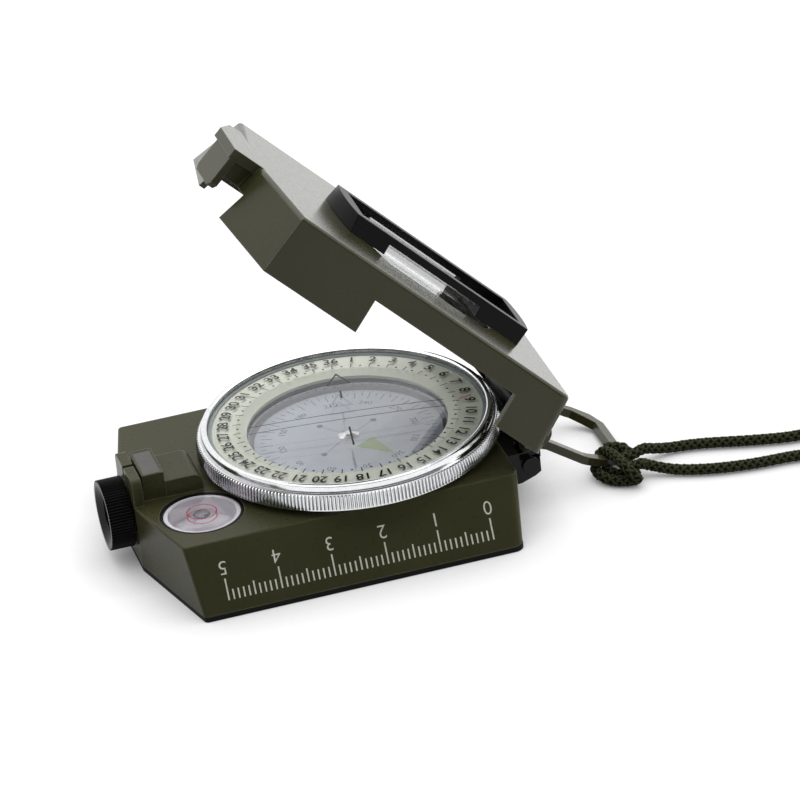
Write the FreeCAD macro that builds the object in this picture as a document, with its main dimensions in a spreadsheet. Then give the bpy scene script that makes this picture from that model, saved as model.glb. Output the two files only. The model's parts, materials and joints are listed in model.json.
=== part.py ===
import FreeCAD, Part
import Sketcher
import math
import os
import re

# Folding sighting compass. Millimetres. The dial axis is the Z axis through the origin, X runs
# from the eyepiece to the hinge, and the ruler edge faces -Y. Z is 0 at the underside.
V = FreeCAD.Vector
doc = FreeCAD.newDocument("sighting_compass")
table = doc.addObject("Spreadsheet::Sheet", "Sizes")

sizes = {
    # base casting
    "cover_thick": 1.0,
    "base_high": 11.9,
    "nose_x": 42.8,
    "nose_half": 7.25,
    "side_low": 30.75,
    "side_top": 25.15,
    "corner_low": 36.9,
    "corner_top": 38.3,
    "rear_low": 23.6,
    "rear_top": 25.2,
    "rear_round": 2.0,
    "front_round": 0.8,
    "edge_round": 0.5,
    # sight wall and prism block
    "sight_high": 5.2,
    "sight_half": 6.6,
    "sight_thick": 1.9,
    "sight_round": 1.3,
    "sight_slot": 0.45,
    "slot_deep": 2.6,
    "prism_gap": 0.5,
    "gap_deep": 3.3,
    "block_long": 4.1,
    "block_half": 5.0,
    "prism_half": 4.4,
    "prism_long": 3.1,
    "prism_deep": 2.8,
    "step_long": 7.1,
    "step_high": 3.3,
    "step_half": 5.2,
    "step_round": 2.0,
    # eyepiece
    "eye_z": 9.1,
    "tube_r": 4.2,
    "tube_wall": 0.55,
    "tube_fit": 0.07,
    "sleeve_wall": 0.93,
    "sleeve_long": 9.0,
    "seat_fit": 0.05,
    "tunnel_r": 3.0,
    "knob_r": 6.6,
    "knob_long": 4.5,
    "knob_gap": 0.3,
    "knob_lip": 0.9,
    "knob_teeth": 72,
    "lens_thick": 1.4,
    "retainer_long": 0.8,
    # level
    "level_x": 31.9,
    "level_y": 13.8,
    "level_r": 7.7,
    "level_deep": 4.5,
    "seal_thick": 0.55,
    "cup_wall": 0.8,
    "vial_proud": 0.2,
    # tripod socket
    "bush_r": 4.6,
    "bush_long": 5.0,
    "socket_r": 2.6,
    "bush_clear": 0.4,
    # bowl
    "bowl_r": 19.6,
    "bowl_wall": 1.0,
    "bowl_fit": 0.1,
    "cavity_deep": 6.1,
    "ledge_deep": 1.0,
    "flange_wide": 1.9,
    "bowl_rise": 3.3,
    "glass_thick": 0.8,
    "glass_drop": 0.1,
    "glass_rim": 0.4,
    # pivot, card and inclinometer disc
    "post_foot_r": 1.4,
    "post_r": 0.6,
    "post_foot": 1.9,
    "post_rise": 4.5,
    "swing_fit": 0.1,
    "card_gap": 1.0,
    "card_thick": 0.4,
    "magnet_long": 28.0,
    "magnet_wide": 4.0,
    "magnet_thick": 1.0,
    "cap_r": 2.0,
    "cap_high": 0.65,
    "cap_edge": 0.25,
    "disc_gap": 1.4,
    "disc_thick": 0.5,
    "disc_lift": 0.2,
    "weight_wide": 7.0,
    "weight_gap": 2.2,
    "weight_thick": 1.4,
    # track ring and bezel
    "track_wide": 5.6,
    "track_neck_in": 1.0,
    "track_gap": 0.4,
    "track_foot": 0.8,
    "track_neck": 0.9,
    "track_lip": 0.7,
    "bezel_fit": 0.05,
    "bezel_float": 0.1,
    "bezel_lip": 0.6,
    "lip_gap": 0.3,
    "shelf_gap": 0.9,
    "shelf_thick": 0.85,
    "knurl_wide": 2.7,
    "knurl_deep": 0.55,
    "knurl_foot": 0.4,
    "knurl_long": 2.9,
    "knurl_teeth": 180,
    "rim_step": 1.2,
    "rim_wall": 1.2,
    "rim_high": 1.85,
    "edge_soft": 0.3,
    "scale_thick": 0.55,
    "scale_flat": 5.2,
    "scale_slope": 1.9,
    "scale_slope_deep": 0.75,
    "plate_thick": 0.2,
    "gasket_thick": 0.3,
    "gasket_wide": 0.65,
    "crystal_edge": 0.7,
    "crystal_rise": 1.5,
    # hinge bracket
    "rear_face": 25.3,
    "bracket_low": 6.2,
    "bracket_high": 6.3,
    "bracket_half": 17.5,
    "bracket_thick": 2.2,
    "lug_half": 10.2,
    "lug_back": 33.5,
    "lug_low": 6.8,
    "lug_drop": 1.0,
    "hinge_x": 32.1,
    "hinge_rise": 1.3,
    "hinge_pin_r": 1.0,
    "barrel_r": 2.4,
    "pin_fit": 0.05,
    "ear_thick": 2.0,
    "ear_x": 29.5,
    "ear_z": 9.6,
    "ear_top": 11.0,
    "ear_low": 7.2,
    "ear_mid": 7.9,
    "ear_back": 31.4,
    "ear_back_low": 30.3,
    "ear_pin_r": 1.2,
    "ear_head_r": 1.7,
    "ear_head": 0.6,
    # screws
    "screw_r": 1.0,
    "screw_head_r": 1.85,
    "screw_head": 0.5,
    "screw_long": 4.0,
    "screw_fit": 0.05,
    "small_screw_r": 0.7,
    "small_head_r": 1.2,
    "small_head": 0.7,
    "cover_screw_front": 30.0,
    "cover_screw_rear": 19.0,
    "cover_screw_half": 23.0,
    "bracket_screw_half": 12.6,
    # thumb ring
    "ring_x": 30.6,
    "ring_z": 11.4,
    "ring_pin_r": 0.9,
    "ring_tilt": 28.2,
    "ring_half": 12.6,
    "ring_bar": 1.8,
    "ring_thick": 1.6,
    "ring_arm": 13.0,
    "ring_bend": 17.4,
    "ring_bend_half": 11.4,
    "ring_corner": 20.6,
    "ring_corner_half": 9.4,
    "ring_long": 22.4,
    "ring_tip_half": 6.2,
    "ring_rise": 0.5,
    "ring_sag": 0.5,
    "ring_rise_at": 4.0,
    "ring_sag_at": 12.0,
    "ring_sag_end": 16.0,
    "ring_eye_r": 1.7,
    "ring_eye_in": 10.6,
    "ring_eye_wide": 2.0,
    # lid
    "lid_open": 46.1,
    "lid_high": 10.2,
    "lid_skirt": 1.2,
    "lid_half": 22.0,
    "lid_front": 73.2,
    "lid_nose": 6.2,
    "lid_rear": 3.0,
    "lid_rear_low": 2.4,
    "lid_wall": 1.25,
    "lid_roof": 1.25,
    "lid_rear_round": 2.2,
    "lid_edge_round": 0.9,
    "wall_low": 5.25,
    "nose_low": 4.6,
    "rear_cut": 3.2,
    "rear_cut_half": 13.8,
    "skirt_front": 48.4,
    "skirt_rear": 13.8,
    "knuckle_r": 2.6,
    "knuckle_in": 12.9,
    "knuckle_wide": 2.3,
    "web_deep": 5.5,
    "relief": 0.6,
    # lid hook
    "hook_half": 4.4,
    "hook_end": 79.5,
    "hook_thick": 1.9,
    "lip_thick": 1.5,
    "lip_low": 1.8,
    "lip_corner": 0.9,
    "lip_step": 0.3,
    "web_half": 3.4,
    "web_low": 4.6,
    "wing_end": 12.6,
    # lid window and sight frame
    "window_x": 32.1,
    "window_r": 17.0,
    "window_half": 11.4,
    "window_rebate": 0.8,
    "window_thick": 0.8,
    "frame_r": 22.2,
    "frame_half": 8.0,
    "frame_lean": 1.2,
    "frame_high": 3.3,
    "frame_open_half": 5.2,
    "frame_floor": 1.1,
    "frame_left": 51.5,
    "frame_right": 12.5,
    "bridge_left": 44.7,
    "bridge_right": 22.0,
    "bridge_low": 1.95,
    "insert_thick": 0.6,
    "insert_fit": 0.1,
    "strip_left": 51.0,
    "strip_right": 27.0,
    "strip_in": 0.7,
    "strip_wide": 2.2,
    "strip_thick": 0.2,
    "wire_thick": 0.2,
    "frame_screw_left": 51.9,
    "frame_screw_right": 12.2,
    # lanyard
    "cord_r": 1.1,
    "wrap_r": 2.6,
    "wrap_round": 220.0,
    "wrap_cord_r": 1.0,
    "wrap_step": 1.9,
    "coil_x": 104.5,
    "coil_y": -18.0,
    "coil_out": 15.5,
    "coil_in": 8.5,
    "coil_high": 4.5,
    "coil_round": 2.0,
}

derived = {
    "base_top": "cover_thick + base_high",
    "sight_top": "base_top + sight_high",
    "side_past": "side_low + relief",
    "sight_back": "nose_x - sight_thick",
    "block_front": "sight_back - prism_gap",
    "block_back": "block_front - block_long",
    "prism_front": "block_front - (block_long - prism_long) / 2",
    "prism_back": "prism_front - prism_long",
    "prism_low": "sight_top - prism_deep",
    "step_back": "block_back - step_long",
    "sleeve_in": "tube_r + tube_fit",
    "sleeve_out": "sleeve_in + sleeve_wall",
    "sleeve_bore": "sleeve_out + seat_fit",
    "tube_in": "tube_r - tube_wall",
    "knob_back": "nose_x + knob_gap",
    "knob_front": "knob_back + knob_long",
    "tube_front": "knob_front - knob_lip",
    "retainer_front": "tube_front - 0.3",
    "lens_front": "retainer_front - retainer_long",
    "lens_back": "lens_front - lens_thick",
    "tube_back": "nose_x - sleeve_long",
    "level_floor": "base_top - level_deep",
    "cup_in": "level_r - seal_thick - seat_fit - cup_wall",
    "seal_in": "level_r - seal_thick",
    "cup_r": "seal_in - seat_fit",
    "vial_r": "cup_r - cup_wall - seat_fit",
    "bush_top": "cover_thick + bush_long",
    "cavity_floor": "base_top - cavity_deep",
    "cavity_r": "bowl_r + bowl_fit",
    "bowl_low": "cavity_floor + bowl_fit",
    "bowl_in": "bowl_r - bowl_wall",
    "bowl_floor": "bowl_low + bowl_wall",
    "flange_low": "base_top - ledge_deep",
    "bowl_top": "base_top + bowl_rise",
    "glass_r": "bowl_in + glass_rim - swing_fit",
    "glass_seat_r": "bowl_in + glass_rim",
    "glass_low": "bowl_top - glass_drop - glass_thick",
    "flange_r": "bowl_r + flange_wide",
    "card_r": "bowl_in - card_gap",
    "disc_r": "bowl_in - disc_gap",
    "weight_out": "disc_r - weight_gap",
    "weight_in": "weight_out - weight_wide",
    "track_in": "bowl_r + track_gap",
    "track_r": "track_in + track_wide",
    "track_neck_r": "track_r - track_neck_in",
    "track_screw_r": "track_in + track_wide / 2 + 0.1",
    "knurl_r": "track_r + knurl_wide",
    "rim_r": "knurl_r - rim_step",
    "ear_in": "bracket_half - ear_thick",
    "shoulder": "bowl_floor + post_foot",
    "post_tip": "shoulder + post_rise",
    "swing_r": "post_r + swing_fit",
    "card_low": "post_tip - card_thick",
    "magnet_low": "card_low - magnet_thick",
    "magnet_half": "magnet_long / 2",
    "magnet_side": "magnet_wide / 2",
    "cap_mid": "cap_r / 2",
    "disc_low": "shoulder + disc_lift",
    "weight_low": "disc_low - weight_thick",
    "foot_top": "base_top + track_foot",
    "neck_top": "foot_top + track_neck",
    "track_top": "neck_top + track_lip",
    "bezel_low": "foot_top + bezel_float",
    "bezel_lip_r": "track_neck_r + bezel_fit",
    "bezel_lip_top": "bezel_low + bezel_lip",
    "bezel_in": "track_r + lip_gap",
    "shelf_low": "track_top + shelf_gap",
    "shelf_top": "shelf_low + shelf_thick",
    "rim_in": "rim_r - rim_wall",
    "rim_top": "shelf_top + rim_high",
    "knurl_low": "bezel_low + knurl_foot",
    "knurl_top": "knurl_low + knurl_long",
    "band_top": "knurl_top + 0.3",
    "root_r": "knurl_r - knurl_deep",
    "scale_r": "rim_in - swing_fit",
    "scale_flat_in": "scale_r - scale_flat",
    "scale_slope_in": "scale_flat_in - scale_slope",
    "scale_slope_low": "shelf_top - scale_slope_deep",
    "scale_slope_top": "scale_top - scale_slope_deep",
    "plate_r": "gasket_in - swing_fit",
    "scale_top": "shelf_top + scale_thick",
    "gasket_top": "scale_top + gasket_thick",
    "crystal_r": "rim_in - seat_fit",
    "gasket_in": "crystal_r - gasket_wide",
    "crystal_top": "gasket_top + crystal_edge",
    "bracket_top": "bracket_low + bracket_high",
    "bracket_back": "rear_face + bracket_thick",
    "hinge_z": "base_top + hinge_rise",
    "lug_top": "hinge_z - lug_drop",
    "knuckle_out": "knuckle_in + knuckle_wide",
    "knuckle_side": "knuckle_r * 0.8",
    "knuckle_up": "knuckle_r * 0.6",
    "pin_long": "2 * (knuckle_out + edge_soft)",
    "ring_in": "ring_half - ring_bar",
    "ring_half_thick": "ring_thick / 2",
    "ring_eye_out": "ring_eye_in + ring_eye_wide",
    "ring_pin_long": "2 * (ring_eye_out + edge_soft)",
    "lid_wide": "2 * side_low",
    "wing_corner": "lid_front + hook_thick",
    "frame_past": "frame_half + frame_lean",
    "wire_half": "wire_thick / 2",
    "slope": "(nose_x - corner_top) / (side_top - nose_half)",
    "lean": "sqrt(1 + slope * slope)",
    "lid_front_low": "hinge_x + nose_x",
    "lid_corner_low": "hinge_x + corner_top",
    "lid_corner": "lid_front - (lid_half - lid_nose) * slope",
    "lid_deep": "lid_high + lid_skirt",
    "roof_low": "lid_high - lid_roof",
    "share": "lid_roof / lid_deep",
    "in_half_low": "side_top - lid_wall",
    "in_front_low": "lid_front_low - lid_wall",
    "in_corner_low": "lid_corner_low - lid_wall * (lean - slope)",
    "in_nose_low": "nose_half - lid_wall * (lean - 1) / slope",
    "in_rear_low": "lid_rear_low + lid_wall",
    "in_half": "lid_half + (side_top - lid_half) * share - lid_wall",
    "in_front": "lid_front + (lid_front_low - lid_front) * share - lid_wall",
    "in_corner": "lid_corner + (lid_corner_low - lid_corner) * share - lid_wall * (lean - slope)",
    "in_nose": "lid_nose + (nose_half - lid_nose) * share - lid_wall * (lean - 1) / slope",
    "in_rear": "lid_rear + (lid_rear_low - lid_rear) * share + lid_wall",
    "hook_low": "lid_high - hook_thick",
    "frame_top": "lid_high + frame_high",
    "frame_half_top": "frame_half - frame_lean",
    "floor_top": "lid_high + frame_floor",
    "insert_top": "floor_top + insert_thick",
    "head_low": "roof_low - small_head",
}

order = list(sizes) + list(derived)
for row, name in enumerate(order, 1):
    text = str(sizes[name]) if name in sizes else "=" + derived[name]
    table.set("A%d" % row, name)
    table.set("B%d" % row, text)
    table.setAlias("B%d" % row, name)
doc.recompute()


def size(name):
    return float(table.get(name))


def worth(text):
    # adds up named sizes, such as "base_top - ledge_deep"
    total = 0.0
    sign = 1
    for word in text.replace("-", " - ").split():
        if word == "+":
            sign = 1
        elif word == "-":
            sign = -1
        else:
            total += sign * (float(word) if word[0].isdigit() else size(word))
            sign = 1
    return total


def bound(text):
    return re.sub(r"[a-z][a-z_]*", r"Sizes.\g<0>", text)


def start(label):
    body = doc.addObject("PartDesign::Body", label)
    body.Label = label
    body.AllowCompound = True
    return body


def plane(body, role):
    return [item for item in body.Origin.OriginFeatures if item.Role == role][0]


def blank(body, role, level):
    sketch = body.newObject("Sketcher::SketchObject", "profile")
    sketch.AttachmentSupport = [(plane(body, role), "")]
    sketch.MapMode = "FlatFace"
    sketch.setExpression("AttachmentOffset.Base.z", bound(level))
    return sketch


def pin_point(sketch, item, end, x, y):
    for kind, text in (("DistanceX", x), ("DistanceY", y)):
        number = sketch.addConstraint(Sketcher.Constraint(kind, -1, 1, item, end, worth(text)))
        sketch.setExpression("Constraints[%d]" % number, bound(text))


def outline(body, role, points, level="0"):
    sketch = blank(body, role, level)
    here = [V(worth(x), worth(y), 0) for x, y in points]
    count = len(points)
    sides = [Part.LineSegment(here[i], here[(i + 1) % count]) for i in range(count)]
    sketch.addGeometry(sides)
    joins = [Sketcher.Constraint("Coincident", i, 2, (i + 1) % count, 1) for i in range(count)]
    sketch.addConstraint(joins)
    for i, (x, y) in enumerate(points):
        pin_point(sketch, i, 1, x, y)
    return sketch


def rounds(body, role, centres, radius, level="0"):
    sketch = blank(body, role, level)
    for i, (x, y) in enumerate(centres):
        circle = Part.Circle(V(worth(x), worth(y), 0), V(0, 0, 1), worth(radius))
        sketch.addGeometry(circle)
        number = sketch.addConstraint(Sketcher.Constraint("Radius", i, worth(radius)))
        sketch.setExpression("Constraints[%d]" % number, bound(radius))
        pin_point(sketch, i, 3, x, y)
    return sketch


def barrel(body, centre, radius, half, level):
    # two flat sides joined by two arcs about one centre
    sketch = blank(body, "XY_Plane", level)
    cx = worth(centre)
    r = worth(radius)
    h = worth(half)
    a = math.asin(h / r)
    w = r * math.cos(a)
    ring = Part.Circle(V(cx, 0, 0), V(0, 0, 1), r)
    sketch.addGeometry([
        Part.LineSegment(V(cx - w, -h, 0), V(cx + w, -h, 0)),
        Part.ArcOfCircle(ring, -a, a),
        Part.LineSegment(V(cx + w, h, 0), V(cx - w, h, 0)),
        Part.ArcOfCircle(ring, math.pi - a, math.pi + a)])
    for i in range(4):
        sketch.addConstraint(Sketcher.Constraint("Coincident", i, 2, (i + 1) % 4, 1))
    sketch.addConstraint(Sketcher.Constraint("Coincident", 1, 3, 3, 3))
    sketch.addConstraint(Sketcher.Constraint("PointOnObject", 1, 3, -1))
    sketch.addConstraint(Sketcher.Constraint("Horizontal", 0))
    sketch.addConstraint(Sketcher.Constraint("Horizontal", 2))
    for values in (("DistanceX", -1, 1, 1, 3, centre, cx), ("Radius", 1, radius, r),
                   ("DistanceY", -1, 1, 0, 1, "-" + half, -h), ("DistanceY", -1, 1, 2, 1, half, h)):
        number = sketch.addConstraint(Sketcher.Constraint(*values[:-2], values[-1]))
        sketch.setExpression("Constraints[%d]" % number, bound(values[-2]))
    return sketch


def pad(body, sketch, length, reverse=False, middle=False):
    feature = body.newObject("PartDesign::Pad", "pad")
    feature.Profile = sketch
    feature.setExpression("Length", bound(length))
    feature.Reversed = reverse
    feature.Midplane = middle
    sketch.Visibility = False
    return feature


def cut(body, sketch, length, reverse=False, middle=False):
    feature = body.newObject("PartDesign::Pocket", "pocket")
    feature.Profile = sketch
    feature.setExpression("Length", bound(length))
    feature.Reversed = reverse
    feature.Midplane = middle
    return feature


def turn(body, sketch, axis="Z_Axis", kind="PartDesign::Revolution"):
    feature = body.newObject(kind, "turned")
    feature.Profile = sketch
    feature.ReferenceAxis = (plane(body, axis), [""])
    feature.Angle = 360
    return feature


def loft(body, first, second, kind="PartDesign::AdditiveLoft"):
    feature = body.newObject(kind, "loft")
    feature.Profile = first
    feature.Sections = [(second, [""])]
    feature.Ruled = True
    return feature


def soften(body, radius, wanted):
    doc.recompute()
    tip = body.Tip
    names = ["Edge%d" % (i + 1) for i, edge in enumerate(tip.Shape.Edges) if wanted(edge)]
    if not names:
        raise ValueError("no edge to round on " + body.Label)
    feature = body.newObject("PartDesign::Fillet", "round")
    feature.Base = (tip, names)
    feature.setExpression("Radius", bound(radius))
    return feature


def place(body, x="0", y="0", z="0", tilt=None):
    body.Placement = FreeCAD.Placement(V(0, 0, 0), FreeCAD.Rotation(V(0, 1, 0), 10 if tilt else 0))
    body.setExpression(".Placement.Base.x", bound(x))
    body.setExpression(".Placement.Base.y", bound(y))
    body.setExpression(".Placement.Base.z", bound(z))
    if tilt:
        body.setExpression(".Placement.Rotation.Angle", bound(tilt))
    return body


def on_lid(body):
    return place(body, "hinge_x", "0", "hinge_z", "lid_open")


def turned(label, points, axis="Z_Axis"):
    body = start(label)
    turn(body, outline(body, "XZ_Plane", points), axis)
    return body


def rect(x_low, x_high, y_low, y_high):
    return [(x_low, y_low), (x_high, y_low), (x_high, y_high), (x_low, y_high)]


def hexagon(front, nose, corner, half, rear):
    return [("-" + front, "-" + nose), ("-" + corner, "-" + half), (rear, "-" + half),
            (rear, half), ("-" + corner, half), ("-" + front, nose)]


def upright(edge):
    low = edge.BoundBox
    return low.ZLength > 0.8 * edge.Length and edge.Length > 3


# ---- base casting: the ruler side and the rear slope outwards to the bottom cover
top = size("base_top")
base = start("base_housing")
pad(base, outline(base, "XY_Plane", hexagon("nose_x", "nose_half", "corner_low", "side_low",
                                            "rear_top"), "cover_thick"), "base_high")
for sign in ("", "-"):
    cut(base, outline(base, "YZ_Plane", [
        (sign + "side_low", "cover_thick"), (sign + "side_past", "cover_thick"),
        (sign + "side_past", "base_top"), (sign + "side_top", "base_top")]), "nose_x + nose_x",
        middle=True)
cut(base, outline(base, "XZ_Plane", [
    ("rear_low", "cover_thick"), ("rear_top", "base_top"), ("rear_face", "base_top"),
    ("rear_face", "cover_thick")]), "lid_wide", middle=True)
soften(base, "rear_round", lambda e: upright(e) and e.CenterOfMass.x > 0)
soften(base, "front_round", lambda e: upright(e) and abs(e.CenterOfMass.y) > 20
       and e.CenterOfMass.x < 0)
soften(base, "edge_round", lambda e: e.BoundBox.ZMin > top - 0.01)
wall = outline(base, "YZ_Plane", rect("-sight_half", "sight_half", "eye_z", "sight_top"), "-nose_x")
pad(base, wall, "sight_thick")
soften(base, "sight_round", lambda e: e.BoundBox.ZMin > size("sight_top") - 0.01
       and e.BoundBox.YLength < 0.01)
block = outline(base, "XY_Plane", rect("-sight_back", "-block_back", "-block_half", "block_half"),
                "eye_z")
pad(base, block, "sight_top - eye_z")
step = outline(base, "XY_Plane", rect("-block_back", "-step_back", "-step_half", "step_half"),
               "eye_z")
pad(base, step, "base_top + step_high - eye_z")
soften(base, "step_round", lambda e: abs(e.CenterOfMass.x + size("step_back")) < 0.01
       and e.BoundBox.ZMin > size("base_top") + size("step_high") - 0.01)
gap = outline(base, "XY_Plane", rect("-sight_back", "-block_front", "-sight_half", "sight_half"),
              "sight_top")
cut(base, gap, "gap_deep")
notch = outline(base, "XY_Plane", rect("-nose_x", "-sight_back", "-sight_slot", "sight_slot"),
                "sight_top")
cut(base, notch, "slot_deep")
seat = outline(base, "XY_Plane", rect("-prism_front", "-prism_back", "-prism_half", "prism_half"),
               "sight_top")
cut(base, seat, "prism_deep")
land = outline(base, "XY_Plane", rect("rear_low - bracket_thick", "rear_face", "-bracket_half",
                                      "bracket_half"), "bracket_low")
pad(base, land, "bracket_high")
cut(base, rounds(base, "XY_Plane", [("0", "0")], "flange_r + bowl_fit", "base_top"), "ledge_deep")
cut(base, rounds(base, "XY_Plane", [("0", "0")], "cavity_r", "base_top"), "cavity_deep")
cut(base, rounds(base, "XY_Plane", [("-level_x", "-level_y")], "level_r + seat_fit", "base_top"),
    "level_deep")
eye = [("0", "eye_z")]
cut(base, rounds(base, "YZ_Plane", eye, "sleeve_bore", "-nose_x"), "sleeve_long + knob_gap", True)
cut(base, rounds(base, "YZ_Plane", eye, "tunnel_r", "-nose_x"), "nose_x - bowl_r + bezel_in - bowl_in",
    True)
cut(base, rounds(base, "XY_Plane", [("0", "0")], "bush_r + seat_fit", "cover_thick"), "bush_long",
    True)
cover_spots = [("-cover_screw_front", "-cover_screw_half"), ("-cover_screw_front", "cover_screw_half"),
               ("cover_screw_rear", "-cover_screw_half"), ("cover_screw_rear", "cover_screw_half")]
cut(base, rounds(base, "XY_Plane", cover_spots, "screw_r + screw_fit", "cover_thick"),
    "screw_long", True)
bracket_spots = [("-bracket_screw_half", "ear_z"), ("bracket_screw_half", "ear_z")]
cut(base, rounds(base, "YZ_Plane", bracket_spots, "screw_r + screw_fit", "rear_face"), "screw_long")
hole = cut(base, rounds(base, "XY_Plane", [("0", "track_screw_r")], "small_screw_r + screw_fit",
                        "base_top"), "screw_long")


def three(body, feature):
    pattern = body.newObject("PartDesign::PolarPattern", "three")
    pattern.Originals = [feature]
    pattern.Axis = (plane(body, "Z_Axis"), [""])
    pattern.Angle = 360
    pattern.Occurrences = 3
    body.Tip = pattern
    return pattern


three(base, hole)

# ---- bottom cover and its four low head screws
cover = start("bottom_cover")
pad(cover, outline(cover, "XY_Plane", hexagon("nose_x", "nose_half", "corner_low", "side_low",
                                              "rear_low")), "cover_thick")
soften(cover, "rear_round", lambda e: e.BoundBox.ZLength > 0.5 and e.CenterOfMass.x > 0)
soften(cover, "front_round", lambda e: e.BoundBox.ZLength > 0.5 and e.CenterOfMass.x < 0
       and abs(e.CenterOfMass.y) > 20)
cut(cover, rounds(cover, "XY_Plane", [("0", "0")], "bush_r + bush_clear"), "cover_thick", True)
cut(cover, rounds(cover, "XY_Plane", cover_spots, "screw_r + screw_fit"), "cover_thick", True)
cut(cover, rounds(cover, "XY_Plane", cover_spots, "screw_head_r + pin_fit"),
    "screw_head + seat_fit", True)
screws = start("cover_screws")
pad(screws, rounds(screws, "XY_Plane", cover_spots, "screw_head_r", "seat_fit"), "screw_head")
pad(screws, rounds(screws, "XY_Plane", cover_spots, "screw_r", "seat_fit"), "screw_long")

# ---- tripod socket
turned("tripod_bush", [("socket_r", "seat_fit"), ("bush_r", "seat_fit"),
                       ("bush_r", "bush_top"), ("socket_r", "bush_top")])

# ---- capsule: bowl, its glass, and the pivot post
turned("dial_bowl", [
    ("0", "bowl_low"), ("bowl_r", "bowl_low"), ("bowl_r", "flange_low"), ("flange_r", "flange_low"),
    ("flange_r", "base_top"), ("bowl_r", "base_top"), ("bowl_r", "bowl_top"),
    ("glass_seat_r", "bowl_top"), ("glass_seat_r", "glass_low"), ("bowl_in", "glass_low"),
    ("bowl_in", "bowl_floor"), ("0", "bowl_floor")])
glass = start("bowl_glass")
pad(glass, rounds(glass, "XY_Plane", [("0", "0")], "glass_r", "glass_low"), "glass_thick")
turned("pivot_post", [
    ("0", "bowl_floor"), ("post_foot_r", "bowl_floor"), ("post_foot_r", "shoulder"),
    ("post_r", "shoulder"), ("post_r", "post_tip"), ("0", "post_tip")])

# ---- card, magnet and cap turn together on the post
card = start("compass_card")
pad(card, rounds(card, "XY_Plane", [("0", "0")], "card_r", "card_low"), "card_thick")
cut(card, rounds(card, "XY_Plane", [("0", "0")], "swing_r", "card_low"), "card_thick", True)
magnet = start("card_magnet")
pad(magnet, outline(magnet, "XY_Plane", rect("-magnet_half", "magnet_half", "-magnet_side",
                                             "magnet_side"), "magnet_low"), "magnet_thick")
cut(magnet, rounds(magnet, "XY_Plane", [("0", "0")], "swing_r", "magnet_low"), "magnet_thick", True)
turned("card_cap", [
    ("0", "post_tip + swing_fit"), ("swing_r", "post_tip + swing_fit"), ("swing_r", "post_tip"),
    ("cap_r", "post_tip"), ("cap_r", "post_tip + cap_edge"), ("cap_mid", "post_tip + cap_high - swing_fit"),
    ("swing_r", "post_tip + cap_high"), ("0", "post_tip + cap_high")])

# ---- the gravity disc of the inclinometer hangs from the same post
disc = start("clinometer_disc")
pad(disc, rounds(disc, "XY_Plane", [("0", "0")], "disc_r", "disc_low"), "disc_thick")
cut(disc, rounds(disc, "XY_Plane", [("0", "0")], "swing_r", "disc_low"), "disc_thick", True)
weight = start("clinometer_weight")
half_ring = turn(weight, outline(weight, "XZ_Plane", rect("weight_in", "weight_out", "weight_low",
                                                          "disc_low")))
half_ring.Angle = 130

# ---- track ring that holds the bowl and the bezel, with three screws
track = turned("track_ring", [
    ("track_in", "base_top"), ("track_r", "base_top"), ("track_r", "foot_top"),
    ("track_neck_r", "foot_top"), ("track_neck_r", "neck_top"), ("track_r", "neck_top"),
    ("track_r", "track_top"), ("track_in", "track_top")])
spot = [("0", "track_screw_r")]
drill = cut(track, rounds(track, "XY_Plane", spot, "small_screw_r + screw_fit", "track_top"),
            "track_top - base_top")
three(track, drill)
drill = cut(track, rounds(track, "XY_Plane", spot, "small_head_r + screw_fit", "track_top"),
            "small_head + screw_fit")
three(track, drill)
pins = start("track_screws")
three(pins, pad(pins, rounds(pins, "XY_Plane", spot, "small_screw_r", "track_top - small_head"),
                "screw_long", True))
three(pins, pad(pins, rounds(pins, "XY_Plane", spot, "small_head_r",
                             "track_top - small_head - screw_fit"), "small_head"))

# ---- knurled bezel: ring of teeth, polished rim, shelf for the scale, lip under the track ring
bezel = start("bezel_ring")
teeth = blank(bezel, "XY_Plane", "knurl_low")
count = int(size("knurl_teeth"))
points = []
for i in range(count):
    for turn_by, radius in ((0.0, "knurl_r"), (0.5, "root_r")):
        angle = 2 * math.pi * (i + turn_by) / count
        points.append(V(size(radius) * math.cos(angle), size(radius) * math.sin(angle), 0))
teeth.addGeometry([Part.LineSegment(points[i - 1], points[i]) for i in range(len(points))])
pad(bezel, teeth, "knurl_long")
turn(bezel, outline(bezel, "XZ_Plane", [
    ("0", "bezel_low"), ("root_r", "bezel_low"), ("root_r", "band_top"), ("rim_r", "band_top"),
    ("rim_r", "rim_top - edge_soft"), ("rim_r - edge_soft", "rim_top"), ("0", "rim_top")]))
turn(bezel, outline(bezel, "XZ_Plane", [
    ("0", "bezel_low"), ("bezel_lip_r", "bezel_low"), ("bezel_lip_r", "bezel_lip_top"),
    ("bezel_in", "bezel_lip_top"), ("bezel_in", "shelf_low"), ("bezel_lip_r", "shelf_low"),
    ("bezel_lip_r", "shelf_top"), ("rim_in", "shelf_top"), ("rim_in", "rim_top"),
    ("0", "rim_top")]), kind="PartDesign::Groove")
turned("scale_ring", [
    ("scale_flat_in", "shelf_top"), ("scale_r", "shelf_top"), ("scale_r", "scale_top"),
    ("scale_flat_in", "scale_top"), ("scale_slope_in", "scale_slope_top"),
    ("scale_slope_in", "scale_slope_low")])
dial = start("dial_plate")
pad(dial, rounds(dial, "XY_Plane", [("0", "0")], "plate_r", "scale_top"), "plate_thick")
turned("crystal_gasket", rect("gasket_in", "crystal_r", "scale_top", "gasket_top"))
crystal = start("crystal")
dome = blank(crystal, "XZ_Plane", "0")


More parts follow.
